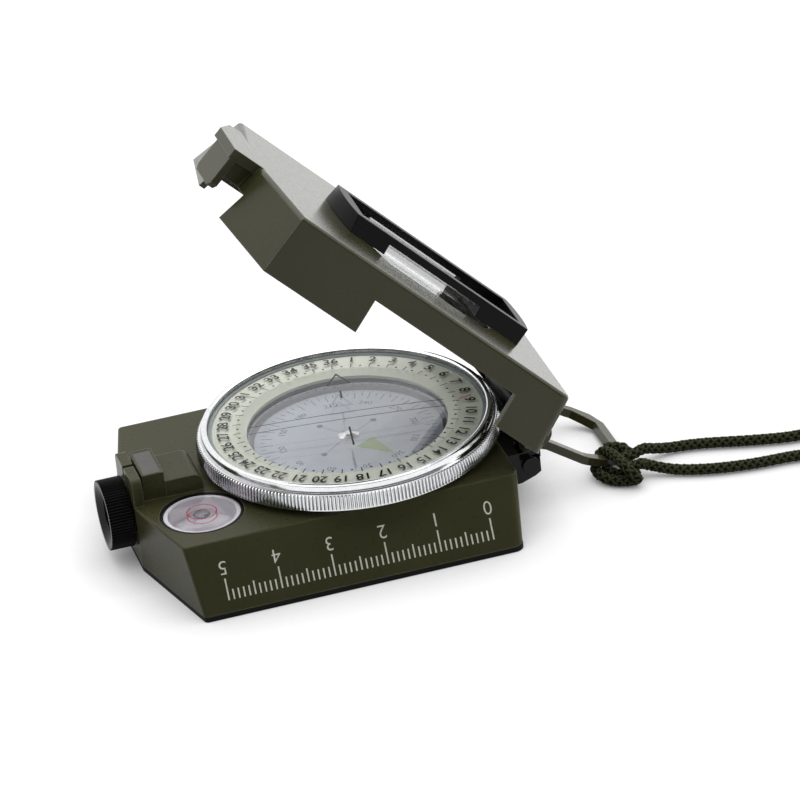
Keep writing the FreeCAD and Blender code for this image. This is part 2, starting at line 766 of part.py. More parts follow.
def dome_arc(low):
    # arc from the edge at radius crystal_r up to the axis
    edge_z = size(low)
    rise = size("crystal_rise")
    reach = size("crystal_r")
    radius = (reach * reach + rise * rise) / (2 * rise)
    middle = V(0, edge_z + rise - radius, 0)
    spread = math.asin(reach / radius)
    return Part.ArcOfCircle(Part.Circle(middle, V(0, 0, 1), radius), math.pi / 2 - spread, math.pi / 2)


upper = dome_arc("crystal_top")
lower = dome_arc("gasket_top")
dome.addGeometry([upper, Part.LineSegment(upper.EndPoint, lower.EndPoint), lower,
                  Part.LineSegment(lower.StartPoint, upper.StartPoint)])
turn(crystal, dome)

# ---- round level
place(turned("level_seal", rect("seal_in", "level_r", "base_top - knob_lip", "base_top")),
      "-level_x", "-level_y")
place(turned("level_cup", [
    ("0", "level_floor"), ("cup_r", "level_floor"), ("cup_r", "base_top - edge_soft"),
    ("cup_in", "base_top - edge_soft"), ("cup_in", "level_floor + cup_wall"),
    ("0", "level_floor + cup_wall")]), "-level_x", "-level_y")
place(turned("level_vial", [
    ("0", "level_floor + cup_wall"), ("vial_r", "level_floor + cup_wall"),
    ("vial_r", "base_top"), ("vial_r - vial_proud", "base_top + vial_proud"),
    ("0", "base_top + vial_proud")]), "-level_x", "-level_y")

# ---- sight prism and eyepiece
prism = start("sight_prism")
pad(prism, outline(prism, "XY_Plane", rect("-prism_front", "-prism_back", "-prism_half",
                                           "prism_half"), "prism_low"), "prism_deep - seat_fit")


def on_eye(label, points):
    return place(turned(label, points, "X_Axis"), "0", "0", "eye_z")


on_eye("eyepiece_sleeve", rect("-nose_x", "-tube_back", "sleeve_in", "sleeve_out"))
on_eye("eyepiece_tube", [
    ("-tube_front", "tube_in"), ("-tube_front", "tube_r"), ("-tube_back", "tube_r"),
    ("-tube_back", "tunnel_r"), ("-lens_back", "tunnel_r"), ("-lens_back", "tube_in")])
on_eye("eyepiece_lens", rect("-lens_front", "-lens_back", "0", "tube_in - seat_fit"))
on_eye("lens_retainer", rect("-retainer_front", "-lens_front", "tunnel_r", "tube_in - seat_fit"))
knob = start("focus_knob")
place(knob, "0", "0", "eye_z")
grip = blank(knob, "YZ_Plane", "-knob_front")
count = int(size("knob_teeth"))
points = []
for i in range(2 * count):
    radius = size("knob_r") - (0.35 if i % 2 else 0)
    points.append(V(radius * math.cos(math.pi * i / count), radius * math.sin(math.pi * i / count), 0))
grip.addGeometry([Part.LineSegment(points[i - 1], points[i]) for i in range(len(points))])
pad(knob, grip, "knob_long")
turn(knob, outline(knob, "XZ_Plane", [
    ("-knob_front", "0"), ("-knob_front", "knob_r - knob_lip"), ("-tube_front", "sleeve_in"),
    ("-knob_back", "sleeve_in"), ("-knob_back", "0")]), "X_Axis", "PartDesign::Groove")

# ---- hinge bracket, screwed to the rear land
bracket = start("hinge_bracket")
pad(bracket, outline(bracket, "XY_Plane", rect("rear_face", "bracket_back", "-bracket_half",
                                               "bracket_half"), "bracket_low"), "bracket_high")
pad(bracket, outline(bracket, "XY_Plane", rect("bracket_back", "lug_back", "-lug_half",
                                               "lug_half"), "lug_low"), "lug_top - lug_low")
pad(bracket, rounds(bracket, "XZ_Plane", [("hinge_x", "hinge_z")], "barrel_r"),
    "lug_half + lug_half", middle=True)
for side in ("ear_in", "-bracket_half"):
    pad(bracket, outline(bracket, "XZ_Plane", [
        ("rear_face", "bracket_low"), ("bracket_back", "bracket_low"), ("ear_back_low", "ear_low"),
        ("ear_back", "ear_mid"), ("ear_back", "ear_top"), ("rear_face", "ear_top")], side),
        "bracket_half - ear_in")
across = "bracket_half + bracket_half"
cut(bracket, rounds(bracket, "XZ_Plane", [("hinge_x", "hinge_z")], "hinge_pin_r + pin_fit"), across,
    middle=True)
cut(bracket, rounds(bracket, "XZ_Plane", [("ring_x", "ring_z")], "ring_pin_r + pin_fit"), across,
    middle=True)
cut(bracket, rounds(bracket, "XZ_Plane", [("ear_x", "ear_z")], "ear_pin_r + pin_fit"), across,
    middle=True)
cut(bracket, rounds(bracket, "YZ_Plane", bracket_spots, "screw_r + screw_fit", "bracket_back"),
    "bracket_thick")
screws = start("bracket_screws")
pad(screws, rounds(screws, "YZ_Plane", bracket_spots, "screw_r", "bracket_back"), "screw_long", True)
pad(screws, rounds(screws, "YZ_Plane", bracket_spots, "screw_head_r", "bracket_back"), "screw_head")
rivets = start("bracket_pins")
for side, head in (("-bracket_half", "-bracket_half - ear_head"), ("ear_in", "bracket_half")):
    pad(rivets, rounds(rivets, "XZ_Plane", [("ear_x", "ear_z")], "ear_pin_r", side),
        "bracket_half - ear_in")
    pad(rivets, rounds(rivets, "XZ_Plane", [("ear_x", "ear_z")], "ear_head_r", head), "ear_head")
pin = start("hinge_pin")
pad(pin, rounds(pin, "XZ_Plane", [("hinge_x", "hinge_z")], "hinge_pin_r"), "pin_long", middle=True)
pin = start("ring_pin")
pad(pin, rounds(pin, "XZ_Plane", [("ring_x", "ring_z")], "ring_pin_r"), "ring_pin_long", middle=True)

# ---- thumb ring, swinging on its own pin
ring = place(start("thumb_ring"), "ring_x", "0", "ring_z", "ring_tilt")
bow = [("0", "0"), ("ring_rise_at", "ring_rise"), ("ring_sag_at", "-ring_sag"),
       ("ring_sag_end", "-ring_sag"), ("ring_long", "0")]
pad(ring, outline(ring, "XZ_Plane", [(u, v + " - ring_half_thick") for u, v in bow]
                  + [(u, v + " + ring_half_thick") for u, v in reversed(bow)]),
    "ring_half + ring_half", middle=True)
for sign in ("", "-"):
    cut(ring, outline(ring, "XY_Plane", [
        ("ring_arm", sign + "ring_half"), ("ring_bend", sign + "ring_bend_half"),
        ("ring_corner", sign + "ring_corner_half"), ("ring_long", sign + "ring_tip_half"),
        ("ring_long + ring_bar", sign + "ring_tip_half"), ("ring_long + ring_bar", sign + "side_low"),
        ("ring_arm", sign + "side_low")]), "ring_arm", middle=True)
cut(ring, outline(ring, "XY_Plane", [
    ("-ring_bar", "-ring_in"), ("ring_arm", "-ring_in"), ("ring_bend - ring_rise", "ring_bar - ring_bend_half"),
    ("ring_corner - ring_thick", "ring_bar - ring_corner_half"),
    ("ring_long - ring_bar", "ring_rise - ring_tip_half"), ("ring_long - ring_bar", "ring_tip_half - ring_rise"),
    ("ring_corner - ring_thick", "ring_corner_half - ring_bar"),
    ("ring_bend - ring_rise", "ring_bend_half - ring_bar"), ("ring_arm", "ring_in"),
    ("-ring_bar", "ring_in")]), "ring_arm", middle=True)
for side in ("ring_eye_in", "-ring_eye_out"):
    pad(ring, rounds(ring, "XZ_Plane", [("0", "0")], "ring_eye_r", side), "ring_eye_wide")
cut(ring, rounds(ring, "XZ_Plane", [("0", "0")], "ring_pin_r + pin_fit"), across, middle=True)

# ---- lid, drawn closed about the hinge axis and then opened
lid = on_lid(start("lid_shell"))
low_shape = outline(lid, "XY_Plane", hexagon("lid_front_low", "nose_half", "lid_corner_low",
                                             "side_top", "-lid_rear_low"), "-lid_skirt")
top_shape = outline(lid, "XY_Plane", hexagon("lid_front", "lid_nose", "lid_corner", "lid_half",
                                             "-lid_rear"), "lid_high")
loft(lid, low_shape, top_shape)
for side in ("knuckle_in", "-knuckle_out"):
    pad(lid, rounds(lid, "XZ_Plane", [("0", "0")], "knuckle_r", side), "knuckle_wide")
soften(lid, "lid_rear_round", lambda e: upright(e) and e.CenterOfMass.x > -20)
soften(lid, "lid_edge_round", lambda e: e.BoundBox.ZMin > size("lid_high") - 0.01)
low_shape = outline(lid, "XY_Plane", hexagon("in_front_low", "in_nose_low", "in_corner_low",
                                             "in_half_low", "-in_rear_low"), "-lid_skirt")
top_shape = outline(lid, "XY_Plane", hexagon("in_front", "in_nose", "in_corner", "in_half",
                                             "-in_rear"), "roof_low")
loft(lid, low_shape, top_shape, "PartDesign::SubtractiveLoft")
cut(lid, outline(lid, "XZ_Plane", rect("-skirt_front", "-skirt_rear", "-lid_skirt - relief",
                                       "wall_low")), "lid_wide", middle=True)
cut(lid, outline(lid, "XY_Plane", rect("-hook_end", "-in_corner_low + web_deep", "-nose_half",
                                       "nose_half"), "nose_low"), "lid_deep")
cut(lid, outline(lid, "XY_Plane", rect("-web_deep", "0", "-rear_cut_half", "rear_cut_half"),
                 "rear_cut"), "lid_deep")
for side in ("knuckle_in", "-knuckle_out"):
    pad(lid, outline(lid, "XZ_Plane", [
        ("knuckle_side", "knuckle_up"), ("-lid_rear - edge_soft", "wall_low"),
        ("-web_deep", "wall_low"), ("-web_deep", "-lid_skirt"), ("0", "-knuckle_r")], side),
        "knuckle_wide")
cut(lid, rounds(lid, "XZ_Plane", [("0", "0")], "hinge_pin_r + pin_fit"), "pin_long", middle=True)
pad(lid, outline(lid, "XY_Plane", [
    ("-hook_end", "-hook_half"), ("-in_front", "-hook_half"), ("-in_front", "wing_end + edge_soft"),
    ("-wing_corner", "wing_end"), ("-hook_end", "nose_half - lip_thick"),
    ("-hook_end", "hook_half")], "hook_low"), "hook_thick")
pad(lid, outline(lid, "YZ_Plane", [
    ("lip_corner - hook_half", "lip_low"), ("hook_half - lip_corner", "lip_low"),
    ("hook_half", "lip_low + lip_corner"), ("hook_half", "hook_low"), ("-hook_half", "hook_low"),
    ("-hook_half", "lip_low + lip_corner")], "lip_step - hook_end"), "lip_thick")
pad(lid, outline(lid, "XY_Plane", rect("lip_step - hook_end", "-in_front", "-web_half", "web_half"),
                 "web_low"), "hook_low - web_low")
cut(lid, barrel(lid, "-window_x", "window_r - window_rebate", "window_half - window_rebate",
                "lid_high"), "lid_deep")
cut(lid, barrel(lid, "-window_x", "window_r", "window_half", "roof_low"), "window_thick", True)
frame_spots = [("-frame_screw_left", "0"), ("-frame_screw_right", "0")]
cut(lid, rounds(lid, "XY_Plane", frame_spots, "small_screw_r + screw_fit", "lid_high"), "lid_roof")
pane = on_lid(start("lid_window"))
pad(pane, barrel(pane, "-window_x", "window_r - swing_fit", "window_half - swing_fit", "roof_low"),
    "window_thick")

# ---- sight frame: two end blocks bridged by two bars, with a clear insert that carries the wire
frame = on_lid(start("sight_frame"))
pad(frame, barrel(frame, "-window_x", "frame_r", "frame_half", "lid_high"), "frame_high")
for sign in ("", "-"):
    side = outline(frame, "YZ_Plane", [
        (sign + "frame_half", "lid_high"), (sign + "frame_past", "lid_high"),
        (sign + "frame_past", "frame_top"), (sign + "frame_half_top", "frame_top")], "-hook_end")
    cut(frame, side, "hook_end", True)
cut(frame, outline(frame, "XY_Plane", rect("-frame_left", "-frame_right", "-frame_open_half",
                                           "frame_open_half"), "frame_top"),
    "frame_high - frame_floor")
cut(frame, outline(frame, "XY_Plane", rect("-bridge_left", "-bridge_right", "-frame_open_half",
                                           "frame_open_half"), "frame_top"), "frame_high")
cut(frame, outline(frame, "XZ_Plane", rect("-bridge_left", "-bridge_right", "lid_high",
                                           "lid_high + bridge_low")), "lid_wide", middle=True)
cut(frame, rounds(frame, "XY_Plane", frame_spots, "small_screw_r + screw_fit", "lid_high"),
    "frame_floor - swing_fit", True)
screws = on_lid(start("frame_screws"))
pad(screws, rounds(screws, "XY_Plane", frame_spots, "small_head_r", "head_low"), "small_head")
pad(screws, rounds(screws, "XY_Plane", frame_spots, "small_screw_r", "head_low"),
    "small_head + lid_roof + frame_floor - glass_rim")
insert = on_lid(start("sight_insert"))
pad(insert, outline(insert, "XY_Plane", rect(
    "-frame_left + insert_fit", "-frame_right - insert_fit", "-frame_open_half + insert_fit",
    "frame_open_half - insert_fit"), "floor_top"), "insert_thick")
strip = on_lid(start("luminous_strip"))
pad(strip, outline(strip, "XY_Plane", rect("-strip_left", "-strip_right", "strip_in",
                                           "strip_in + strip_wide"), "insert_top"), "strip_thick")
wire = on_lid(start("sight_wire"))
pad(wire, outline(wire, "XY_Plane", rect("-frame_left + insert_fit", "-frame_right - insert_fit",
                                         "-wire_half", "wire_half"), "insert_top"), "wire_thick")


# ---- lanyard: knot on the ring corner, two strands along the table, and the put-away coil
def cord_tube(label, route):
    # straight runs joined by tangent arcs
    edges = []
    last = route[0]
    for before, corner, after in zip(route, route[1:], route[2:]):
        into = corner - before
        out = after - corner
        half_turn = into.getAngle(out) / 2
        reach = 0.45 * min(into.Length, out.Length)
        print(label, "bend radius", round(reach / math.tan(half_turn), 2))
        a = corner - into / into.Length * reach
        b = corner + out / out.Length * reach
        mid_way = (a + b) / 2 - corner
        radius = reach / math.tan(half_turn)
        inner = corner + mid_way / mid_way.Length * (radius / math.cos(half_turn) - radius)
        edges.append(Part.makeLine(last, a))
        edges.append(Part.Arc(a, inner, b).toShape())
        last = b
    edges.append(Part.makeLine(last, route[-1]))
    path = Part.Wire(edges)
    ring = Part.Circle(route[0], route[1] - route[0], size("cord_r")).toShape()
    tube = path.makePipeShell([Part.Wire(ring)], True, True)
    print(label, "volume over section x length",
          round(tube.Volume / (math.pi * size("cord_r") ** 2 * path.Length), 4), round(path.Length, 1))
    feature = doc.addObject("Part::Feature", label)
    feature.Label = label
    feature.Shape = tube
    return feature


cord_z = size("cord_r") + 0.1
cord_tube("lanyard_strand_upper", [
    V(53.7, -8.8, 2.8), V(57.6, -7.8, cord_z), V(64.0, -8.6, cord_z), V(73.5, -12.0, cord_z),
    V(82.5, -14.6, cord_z), V(88.4, -15.4, cord_z)])
cord_tube("lanyard_strand_lower", [
    V(51.6, -13.4, 2.6), V(55.4, -15.4, cord_z), V(62.2, -18.9, cord_z), V(71.0, -20.8, cord_z),
    V(80.0, -21.2, cord_z), V(88.6, -20.2, cord_z)])
coil = start("lanyard_coil")
turn(coil, outline(coil, "XZ_Plane", rect("coil_in", "coil_out", "0", "coil_high")))
soften(coil, "coil_round", lambda e: e.Length > 10)
place(coil, "coil_x", "coil_y")

# two wraps over the corner of the ring, open where it meets the table, with the bight across them
wraps = []
tilt = FreeCAD.Rotation(V(0, 1, 0), size("ring_tilt"))
pivot = V(size("ring_x"), 0, size("ring_z"))
along = V(size("ring_long") - size("ring_corner"), size("ring_corner_half") - size("ring_tip_half"), 0)
along = along / along.Length
inward = V(-along.y, along.x, 0)
bar_mid = V(size("ring_corner"), -size("ring_corner_half"), 0) + along * 1.2 + inward * 1.1
bar_mid = bar_mid - V(0, 0, 0.17)
axis = tilt.multVec(along)
up_way = (V(0, 0, 1) - axis * axis.z).normalize()
first = FreeCAD.Rotation(axis, -size("wrap_round") / 2).multVec(up_way)
for i, step in enumerate((-0.5, 0.5)):
    torus = doc.addObject("Part::Torus", "wrap_%d" % i)
    torus.setExpression("Radius1", "Sizes.wrap_r")
    torus.setExpression("Radius2", "Sizes.wrap_cord_r")
    torus.setExpression("Angle3", "Sizes.wrap_round")
    spot_here = pivot + tilt.multVec(bar_mid + along * step * size("wrap_step"))
    face = FreeCAD.Rotation(first, axis.cross(first), axis, "ZXY")
    torus.Placement = FreeCAD.Placement(spot_here, face)
    wraps.append(torus)
bight = doc.addObject("Part::Cylinder", "bight")
bight.setExpression("Radius", "Sizes.wrap_cord_r")
bight.setExpression("Height", "Sizes.wrap_step + 2 * Sizes.wrap_cord_r")
out_way = (tilt.multVec(inward * -1) + V(0, 0, 0.5)).normalize()
foot = pivot + tilt.multVec(bar_mid - along * (size("wrap_step") / 2 + size("wrap_cord_r")))
bight.Placement = FreeCAD.Placement(foot + out_way * (size("wrap_r") + 0.9),
                                    FreeCAD.Rotation(V(0, 0, 1), axis))
knot = doc.addObject("Part::MultiFuse", "lanyard_knot")
knot.Label = "lanyard_knot"
knot.Shapes = wraps + [bight]

doc.recompute()

# ---- check and write every piece
nodes = [item for item in doc.Objects if item.isDerivedFrom("PartDesign::Body")]
nodes += [item for item in doc.Objects if item.TypeId == "Part::Feature"]
nodes.append(knot)
for item in doc.Objects:
    if "Invalid" in item.State or "Error" in item.State:
        raise ValueError("%s (%s) did not build: %s" % (item.Name, item.Label, item.State))
for node in nodes:
    if node.Shape.isNull() or not node.Shape.isValid() or not node.Shape.Solids:
        raise ValueError(node.Label + " has no valid solid")
os.makedirs("parts", exist_ok=True)
for node in nodes:
    node.Shape.exportStep("parts/" + node.Label + ".step")
print(len(nodes), "pieces written")
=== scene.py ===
import bpy
import json
import math
from mathutils import Matrix, Vector


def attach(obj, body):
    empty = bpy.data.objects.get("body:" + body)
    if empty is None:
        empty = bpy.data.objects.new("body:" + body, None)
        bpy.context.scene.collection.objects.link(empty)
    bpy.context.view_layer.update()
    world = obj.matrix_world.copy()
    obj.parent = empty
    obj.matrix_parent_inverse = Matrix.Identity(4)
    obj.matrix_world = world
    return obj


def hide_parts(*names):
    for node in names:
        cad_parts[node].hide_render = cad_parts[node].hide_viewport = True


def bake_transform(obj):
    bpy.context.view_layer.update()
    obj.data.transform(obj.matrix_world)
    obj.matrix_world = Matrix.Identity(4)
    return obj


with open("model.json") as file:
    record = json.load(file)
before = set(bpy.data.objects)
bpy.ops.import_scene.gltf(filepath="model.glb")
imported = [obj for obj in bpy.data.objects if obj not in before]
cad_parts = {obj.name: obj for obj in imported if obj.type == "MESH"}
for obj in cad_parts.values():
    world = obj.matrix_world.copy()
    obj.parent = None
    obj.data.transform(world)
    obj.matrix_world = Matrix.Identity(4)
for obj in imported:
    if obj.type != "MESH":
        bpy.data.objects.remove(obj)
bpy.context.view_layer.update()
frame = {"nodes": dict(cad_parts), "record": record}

nodes = frame["nodes"]
mm = 0.001
quarter = math.pi / 2      # of a turn
print("frame loaded:", len(nodes), "nodes")


def pick(*items):
    # leaves only these selected, the last one active
    bpy.ops.object.select_all(action="DESELECT")
    for item in items:
        item.select_set(True)
        bpy.context.view_layer.objects.active = item


def settle():
    # the place, turn and scale of what is selected go into its mesh
    bpy.ops.object.transform_apply(location=True, rotation=True, scale=True)


def around(radius, angle):
    # x and y at a distance and an angle from an axis
    return radius * math.cos(angle), radius * math.sin(angle)


# camera

cameraSettings = {
    "azimuth": 13.6, "elevation": 27.949, "roll": -6.0722, "distance": 987.29,
    "target": (17.941, 18.884, 9.0), "lens": 234.76, "sensor": 36, "shift": (-0.019, -0.0047), "near": 0.01,
}


def makeCamera(settings):
    turn = math.radians(settings["azimuth"])
    lift = math.radians(settings["elevation"])
    roll = math.radians(settings["roll"])
    back = Vector((-math.sin(turn) * math.cos(lift), -math.cos(turn) * math.cos(lift), math.sin(lift)))
    side = Vector((math.cos(turn), -math.sin(turn), 0))
    up = back.cross(side)
    right = side * math.cos(roll) + up * math.sin(roll)
    up = up * math.cos(roll) - side * math.sin(roll)
    bpy.ops.object.camera_add()
    camera = bpy.context.object
    spot = (Vector(settings["target"]) + back * settings["distance"]) * mm
    camera.matrix_world = Matrix.Translation(spot) @ Matrix((right, up, back)).transposed().to_4x4()
    camera.data.lens = settings["lens"]
    camera.data.sensor_width = settings["sensor"]
    camera.data.shift_x, camera.data.shift_y = settings["shift"]
    camera.data.clip_start = settings["near"]
    bpy.context.scene.camera = camera


makeCamera(cameraSettings)

# lanyard: one braided cord from the knot to the put-away coil and back

cordSettings = {
    "thick": 2.2, "core": 0.92, "coreSides": 3, "low": 1.2, "high": 3.35, "routeSteps": 14,
    "out": [(53.7, -8.8, 2.8), (57.6, -7.8, 1.2), (64.0, -8.6, 1.2), (73.5, -12.0, 1.2), (82.5, -14.6, 1.2),
            (88.6, -13.2, 1.2), (93.4, -8.2, 1.2), (98.8, -4.6, 1.2)],
    "back": [(105.5, -33.4, 3.2), (99.5, -33.6, 2.0), (94.0, -31.2, 1.2), (88.5, -26.4, 1.2),
             (84.6, -22.9, 1.2), (80.0, -21.2, 1.2), (71.0, -20.8, 1.2), (62.2, -18.9, 1.2),
             (55.4, -15.4, 1.2), (51.6, -13.4, 2.6)],
    "coil": (104.5, -18.0), "coilOut": 14.5, "coilIn": 9.9,
    "coilSteps": 63, "layerSteps": 29, "stepsPerTurn": 14,
    "pitch": 6.0, "yarns": 4, "yarn": 0.3, "yarnSides": 1, "yarnRing": 0.7, "yarnWave": 0.12,
    "fineStep": 0.22, "coarseStep": 0.5, "coarseFrom": 87.0,      # the weave is coarser towards the coil
}


def coilRoute(settings):
    # clockwise on the table from the outside in, then on top from the inside out
    points = []
    for step in range(settings["coilSteps"]):
        angle = math.radians(90 - 360 / settings["stepsPerTurn"] * step)
        if step < settings["layerSteps"]:
            radius = settings["coilOut"] - settings["thick"] * step / settings["stepsPerTurn"]
            high = settings["low"]
        else:
            onTop = step - settings["layerSteps"]
            radius = settings["coilIn"] + settings["thick"] * onTop / settings["stepsPerTurn"]
            high = settings["high"]
        x, y = around(radius, angle)
        points.append((settings["coil"][0] + x, settings["coil"][1] + y, high))
    return points


def smoothRoute(name, points, settings, closed):
    # a bare curve through the route, and the places that it really follows
    curve = bpy.data.curves.new(name, "CURVE")
    curve.dimensions = "3D"
    spline = curve.splines.new("NURBS")
    spline.points.add(len(points) - 1)
    for point, spot in zip(spline.points, points):
        point.co = [value * mm for value in spot] + [1]
    spline.order_u = 3
    spline.use_endpoint_u = not closed
    spline.use_cyclic_u = closed
    spline.resolution_u = settings["routeSteps"]
    route = bpy.data.objects.new(name, curve)
    bpy.context.collection.objects.link(route)
    line = bpy.data.meshes.new_from_object(route)
    spots = [vertex.co.copy() for vertex in line.vertices]
    bpy.data.meshes.remove(line)
    return route, spots + [spots[0].copy()] if closed else spots


def walk(spots, settings):
    # even steps along the route: the place, the way along and the distance gone
    result = []
    gone = 0.0
    wanted = 0.0
    for a, b in zip(spots, spots[1:]):
        length = (b - a).length
        while length and wanted <= gone + length:
            spot = a.lerp(b, (wanted - gone) / length)
            result.append((spot, (b - a).normalized(), wanted))
            coarse = spot.x > settings["coarseFrom"] * mm
            wanted += settings["coarseStep" if coarse else "fineStep"] * mm
        gone += length
    return result


def sideways(along):
    # two directions across the cord, the first as upright as it can be
    up = Vector((0, 0, 1)) - along * along.z
    up = up.normalized() if up.length > 0.05 else Vector((0, 1, 0))      # a steep run has no upright side
    return up, along.cross(up)


def braid(name, walks, settings):
    # two sets of yarns that wind opposite ways and pass over and under each other
    curve = bpy.data.curves.new(name, "CURVE")
    curve.dimensions = "3D"
    curve.bevel_depth = settings["yarn"] * mm
    curve.bevel_resolution = settings["yarnSides"]
    pitch = settings["pitch"] * mm
    for steps in walks:
        for way in (1, -1):
            for yarn in range(settings["yarns"]):
                spline = curve.splines.new("POLY")
                spline.points.add(len(steps) - 1)
                for point, (spot, along, gone) in zip(spline.points, steps):
                    up, side = sideways(along)
                    angle = way * math.tau * gone / pitch + math.tau * yarn / settings["yarns"]
                    lift = settings["yarnWave"] * way * math.cos(math.tau * settings["yarns"] * gone / pitch)
                    radius = (settings["yarnRing"] + lift) * mm
                    place = spot + (up * math.cos(angle) + side * math.sin(angle)) * radius
                    point.co = place.to_4d()
    item = bpy.data.objects.new(name, curve)
    bpy.context.collection.objects.link(item)
    pick(item)
    bpy.ops.object.convert(target="MESH")
    return bpy.context.object


def rope(name, points, settings, closed=False):
    # the round core of a cord, its line and the steps along it
    route, spots = smoothRoute(name, points, settings, closed)
    route.data.bevel_depth = settings["core"] * mm
    route.data.bevel_resolution = settings["coreSides"]
    route.data.use_fill_caps = not closed
    pick(route)
    bpy.ops.object.convert(target="MESH")
    return bpy.context.object, spots, walk(spots, settings)


cordPoints = cordSettings["out"] + coilRoute(cordSettings) + cordSettings["back"]
lanyardCore, cordPath, cordSteps = rope("lanyardCore", cordPoints, cordSettings)
lanyardBraid = braid("lanyardBraid", [cordSteps], cordSettings)
cordLength = sum((b - a).length for a, b in zip(cordPath, cordPath[1:]))
print("lanyard:", round(cordLength, 3), "m,", len(lanyardBraid.data.polygons), "faces")

# knot: short stretches of the same cord, the band closed on itself

knotSettings = {
    "band": [(45.8, -7.0, 3.0), (46.7, -9.4, 4.2), (47.2, -13.4, 4.6), (47.8, -16.7, 4.2),
             (48.8, -18.1, 3.0), (50.0, -17.7, 1.6), (48.0, -16.7, 1.2), (45.3, -15.4, 1.2),
             (43.7, -13.1, 1.5), (43.6, -9.9, 1.6)],
    "top": [(47.6, -5.1, 2.5), (49.4, -7.0, 3.4), (50.8, -8.6, 3.0), (50.9, -10.4, 2.2)],
    "upper": [(48.2, -10.3, 2.4), (50.9, -10.2, 2.6), (53.2, -8.9, 2.8), (54.6, -8.4, 2.5)],
    "inner": [(50.6, -15.7, 1.6), (49.0, -14.9, 1.3), (47.2, -13.7, 1.2), (46.0, -12.0, 1.2),
              (45.7, -10.2, 1.4)],
    "lower": [(48.0, -13.2, 2.2), (50.0, -14.0, 2.4), (51.6, -13.4, 2.6), (53.0, -14.2, 2.1)],
}
knotCores = []
knotWalks = []
for strand, points in knotSettings.items():
    core, _, steps = rope("knot" + strand, points, cordSettings, closed=strand == "band")
    knotCores.append(core)
    knotWalks.append(steps)
knotPiece = braid("lanyardKnot", knotWalks, cordSettings)
pick(*knotCores)
bpy.ops.object.join()
knotCore = bpy.context.object
knotCore.name = "knotCore"
print("knot:", len(knotPiece.data.polygons), "faces")

for piece in (knotPiece, knotCore):
    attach(piece, "ring")
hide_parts("lanyard_knot")
for piece in (lanyardCore, lanyardBraid):
    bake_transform(piece)
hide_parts("lanyard_strand_upper", "lanyard_strand_lower", "lanyard_coil")
[tuple(spot) for spot in cordPath]

# light: "gloss" says whether shiny faces mirror the lamp

lightSettings = {
    "overhead": {"spot": (0.05, 0.2, 0.8), "aim": (0, 0, 0), "wide": 1.2, "power": 6.3, "gloss": True},
    "frontBox": {"spot": (0.15, -0.75, 0.45), "aim": (0, 0, 0.01), "wide": 0.5, "power": 0.7, "gloss": False},
    "rightBox": {"spot": (0.75, -0.1, 0.35), "aim": (0, 0, 0.02), "wide": 0.5, "power": 1.4, "gloss": True},
}
for name, lamp in lightSettings.items():
    aim = (Vector(lamp["aim"]) - Vector(lamp["spot"])).to_track_quat("-Z", "Y").to_euler()
    bpy.ops.object.light_add(type="AREA", location=lamp["spot"], rotation=aim)
    light = bpy.context.object
    light.name = name
    light.data.size = lamp["wide"]
    light.data.energy = lamp["power"]
    light.visible_glossy = lamp["gloss"]

# surroundings: strength in front, behind and added in gloss, and how far from the middle it changes
worldSettings = {"front": 0.14, "rear": 0.62, "shine": 0.42, "reach": 0.6}


def makeWorld(settings):
    # white to the camera and through glass, and brighter behind than in front to all else
    world = bpy.data.worlds.new("studio")
    world.use_nodes = True
    bpy.context.scene.world = world
    tree = world.node_tree
    tree.nodes.clear()
    out = tree.nodes.new("ShaderNodeOutputWorld")
    lit = tree.nodes.new("ShaderNodeBackground")
    seen = tree.nodes.new("ShaderNodeBackground")
    for background in (lit, seen):
        background.inputs["Color"].default_value = (1, 1, 1, 1)
    mix = tree.nodes.new("ShaderNodeMixShader")
    path = tree.nodes.new("ShaderNodeLightPath")
    either = tree.nodes.new("ShaderNodeMath")
    either.operation = "MAXIMUM"
    where = tree.nodes.new("ShaderNodeTexCoord")
    parts = tree.nodes.new("ShaderNodeSeparateXYZ")
    level = tree.nodes.new("ShaderNodeMapRange")
    level.interpolation_type = "SMOOTHSTEP"
    level.inputs["From Min"].default_value = -settings["reach"]
    level.inputs["From Max"].default_value = settings["reach"]
    level.inputs["To Min"].default_value = settings["front"]
    shine = tree.nodes.new("ShaderNodeMath")
    shine.operation = "MULTIPLY_ADD"
    shine.inputs[1].default_value = settings["shine"]
    shine.inputs[2].default_value = settings["rear"]
    for start, end in (
        (path.outputs["Is Glossy Ray"], shine.inputs[0]), (shine.outputs["Value"], level.inputs["To Max"]),
        (where.outputs["Generated"], parts.inputs["Vector"]), (parts.outputs["Y"], level.inputs["Value"]),
        (level.outputs["Result"], lit.inputs["Strength"]), (path.outputs["Is Camera Ray"], either.inputs[0]),
        (path.outputs["Is Transmission Ray"], either.inputs[1]), (either.outputs["Value"], mix.inputs["Fac"]),
        (lit.outputs["Background"], mix.inputs[1]), (seen.outputs["Background"], mix.inputs[2]),
        (mix.outputs["Shader"], out.inputs["Surface"]),
    ):
        tree.links.new(start, end)


makeWorld(worldSettings)
bpy.context.scene.view_settings.view_transform = "Standard"

# materials: what all finishes share, the pairs being where an effect starts and where it is full

sharedSettings = {
    "detail": 3.0, "roughness": 0.55, "mottle": (0.35, 0.65), "polish": (0.3, 0.7),
    # the edge settings serve pale edges of wear and painted highlight, the crease samples painted groove
    # shade
    "wearHighlightEdge": (0.995, 0.88), "wearHighlightPatches": 350, "roundSamples": 8, "wearHighlightSamples": 4, "grooveShadeSamples": 6,
}


def tone(red, green, blue):
    # a colour written as on a screen, 0 to 255, in linear values
    return [((value / 255 + 0.055) / 1.055) ** 2.4 if value > 10 else value / 255 / 12.92
            for value in (red, green, blue)] + [1]


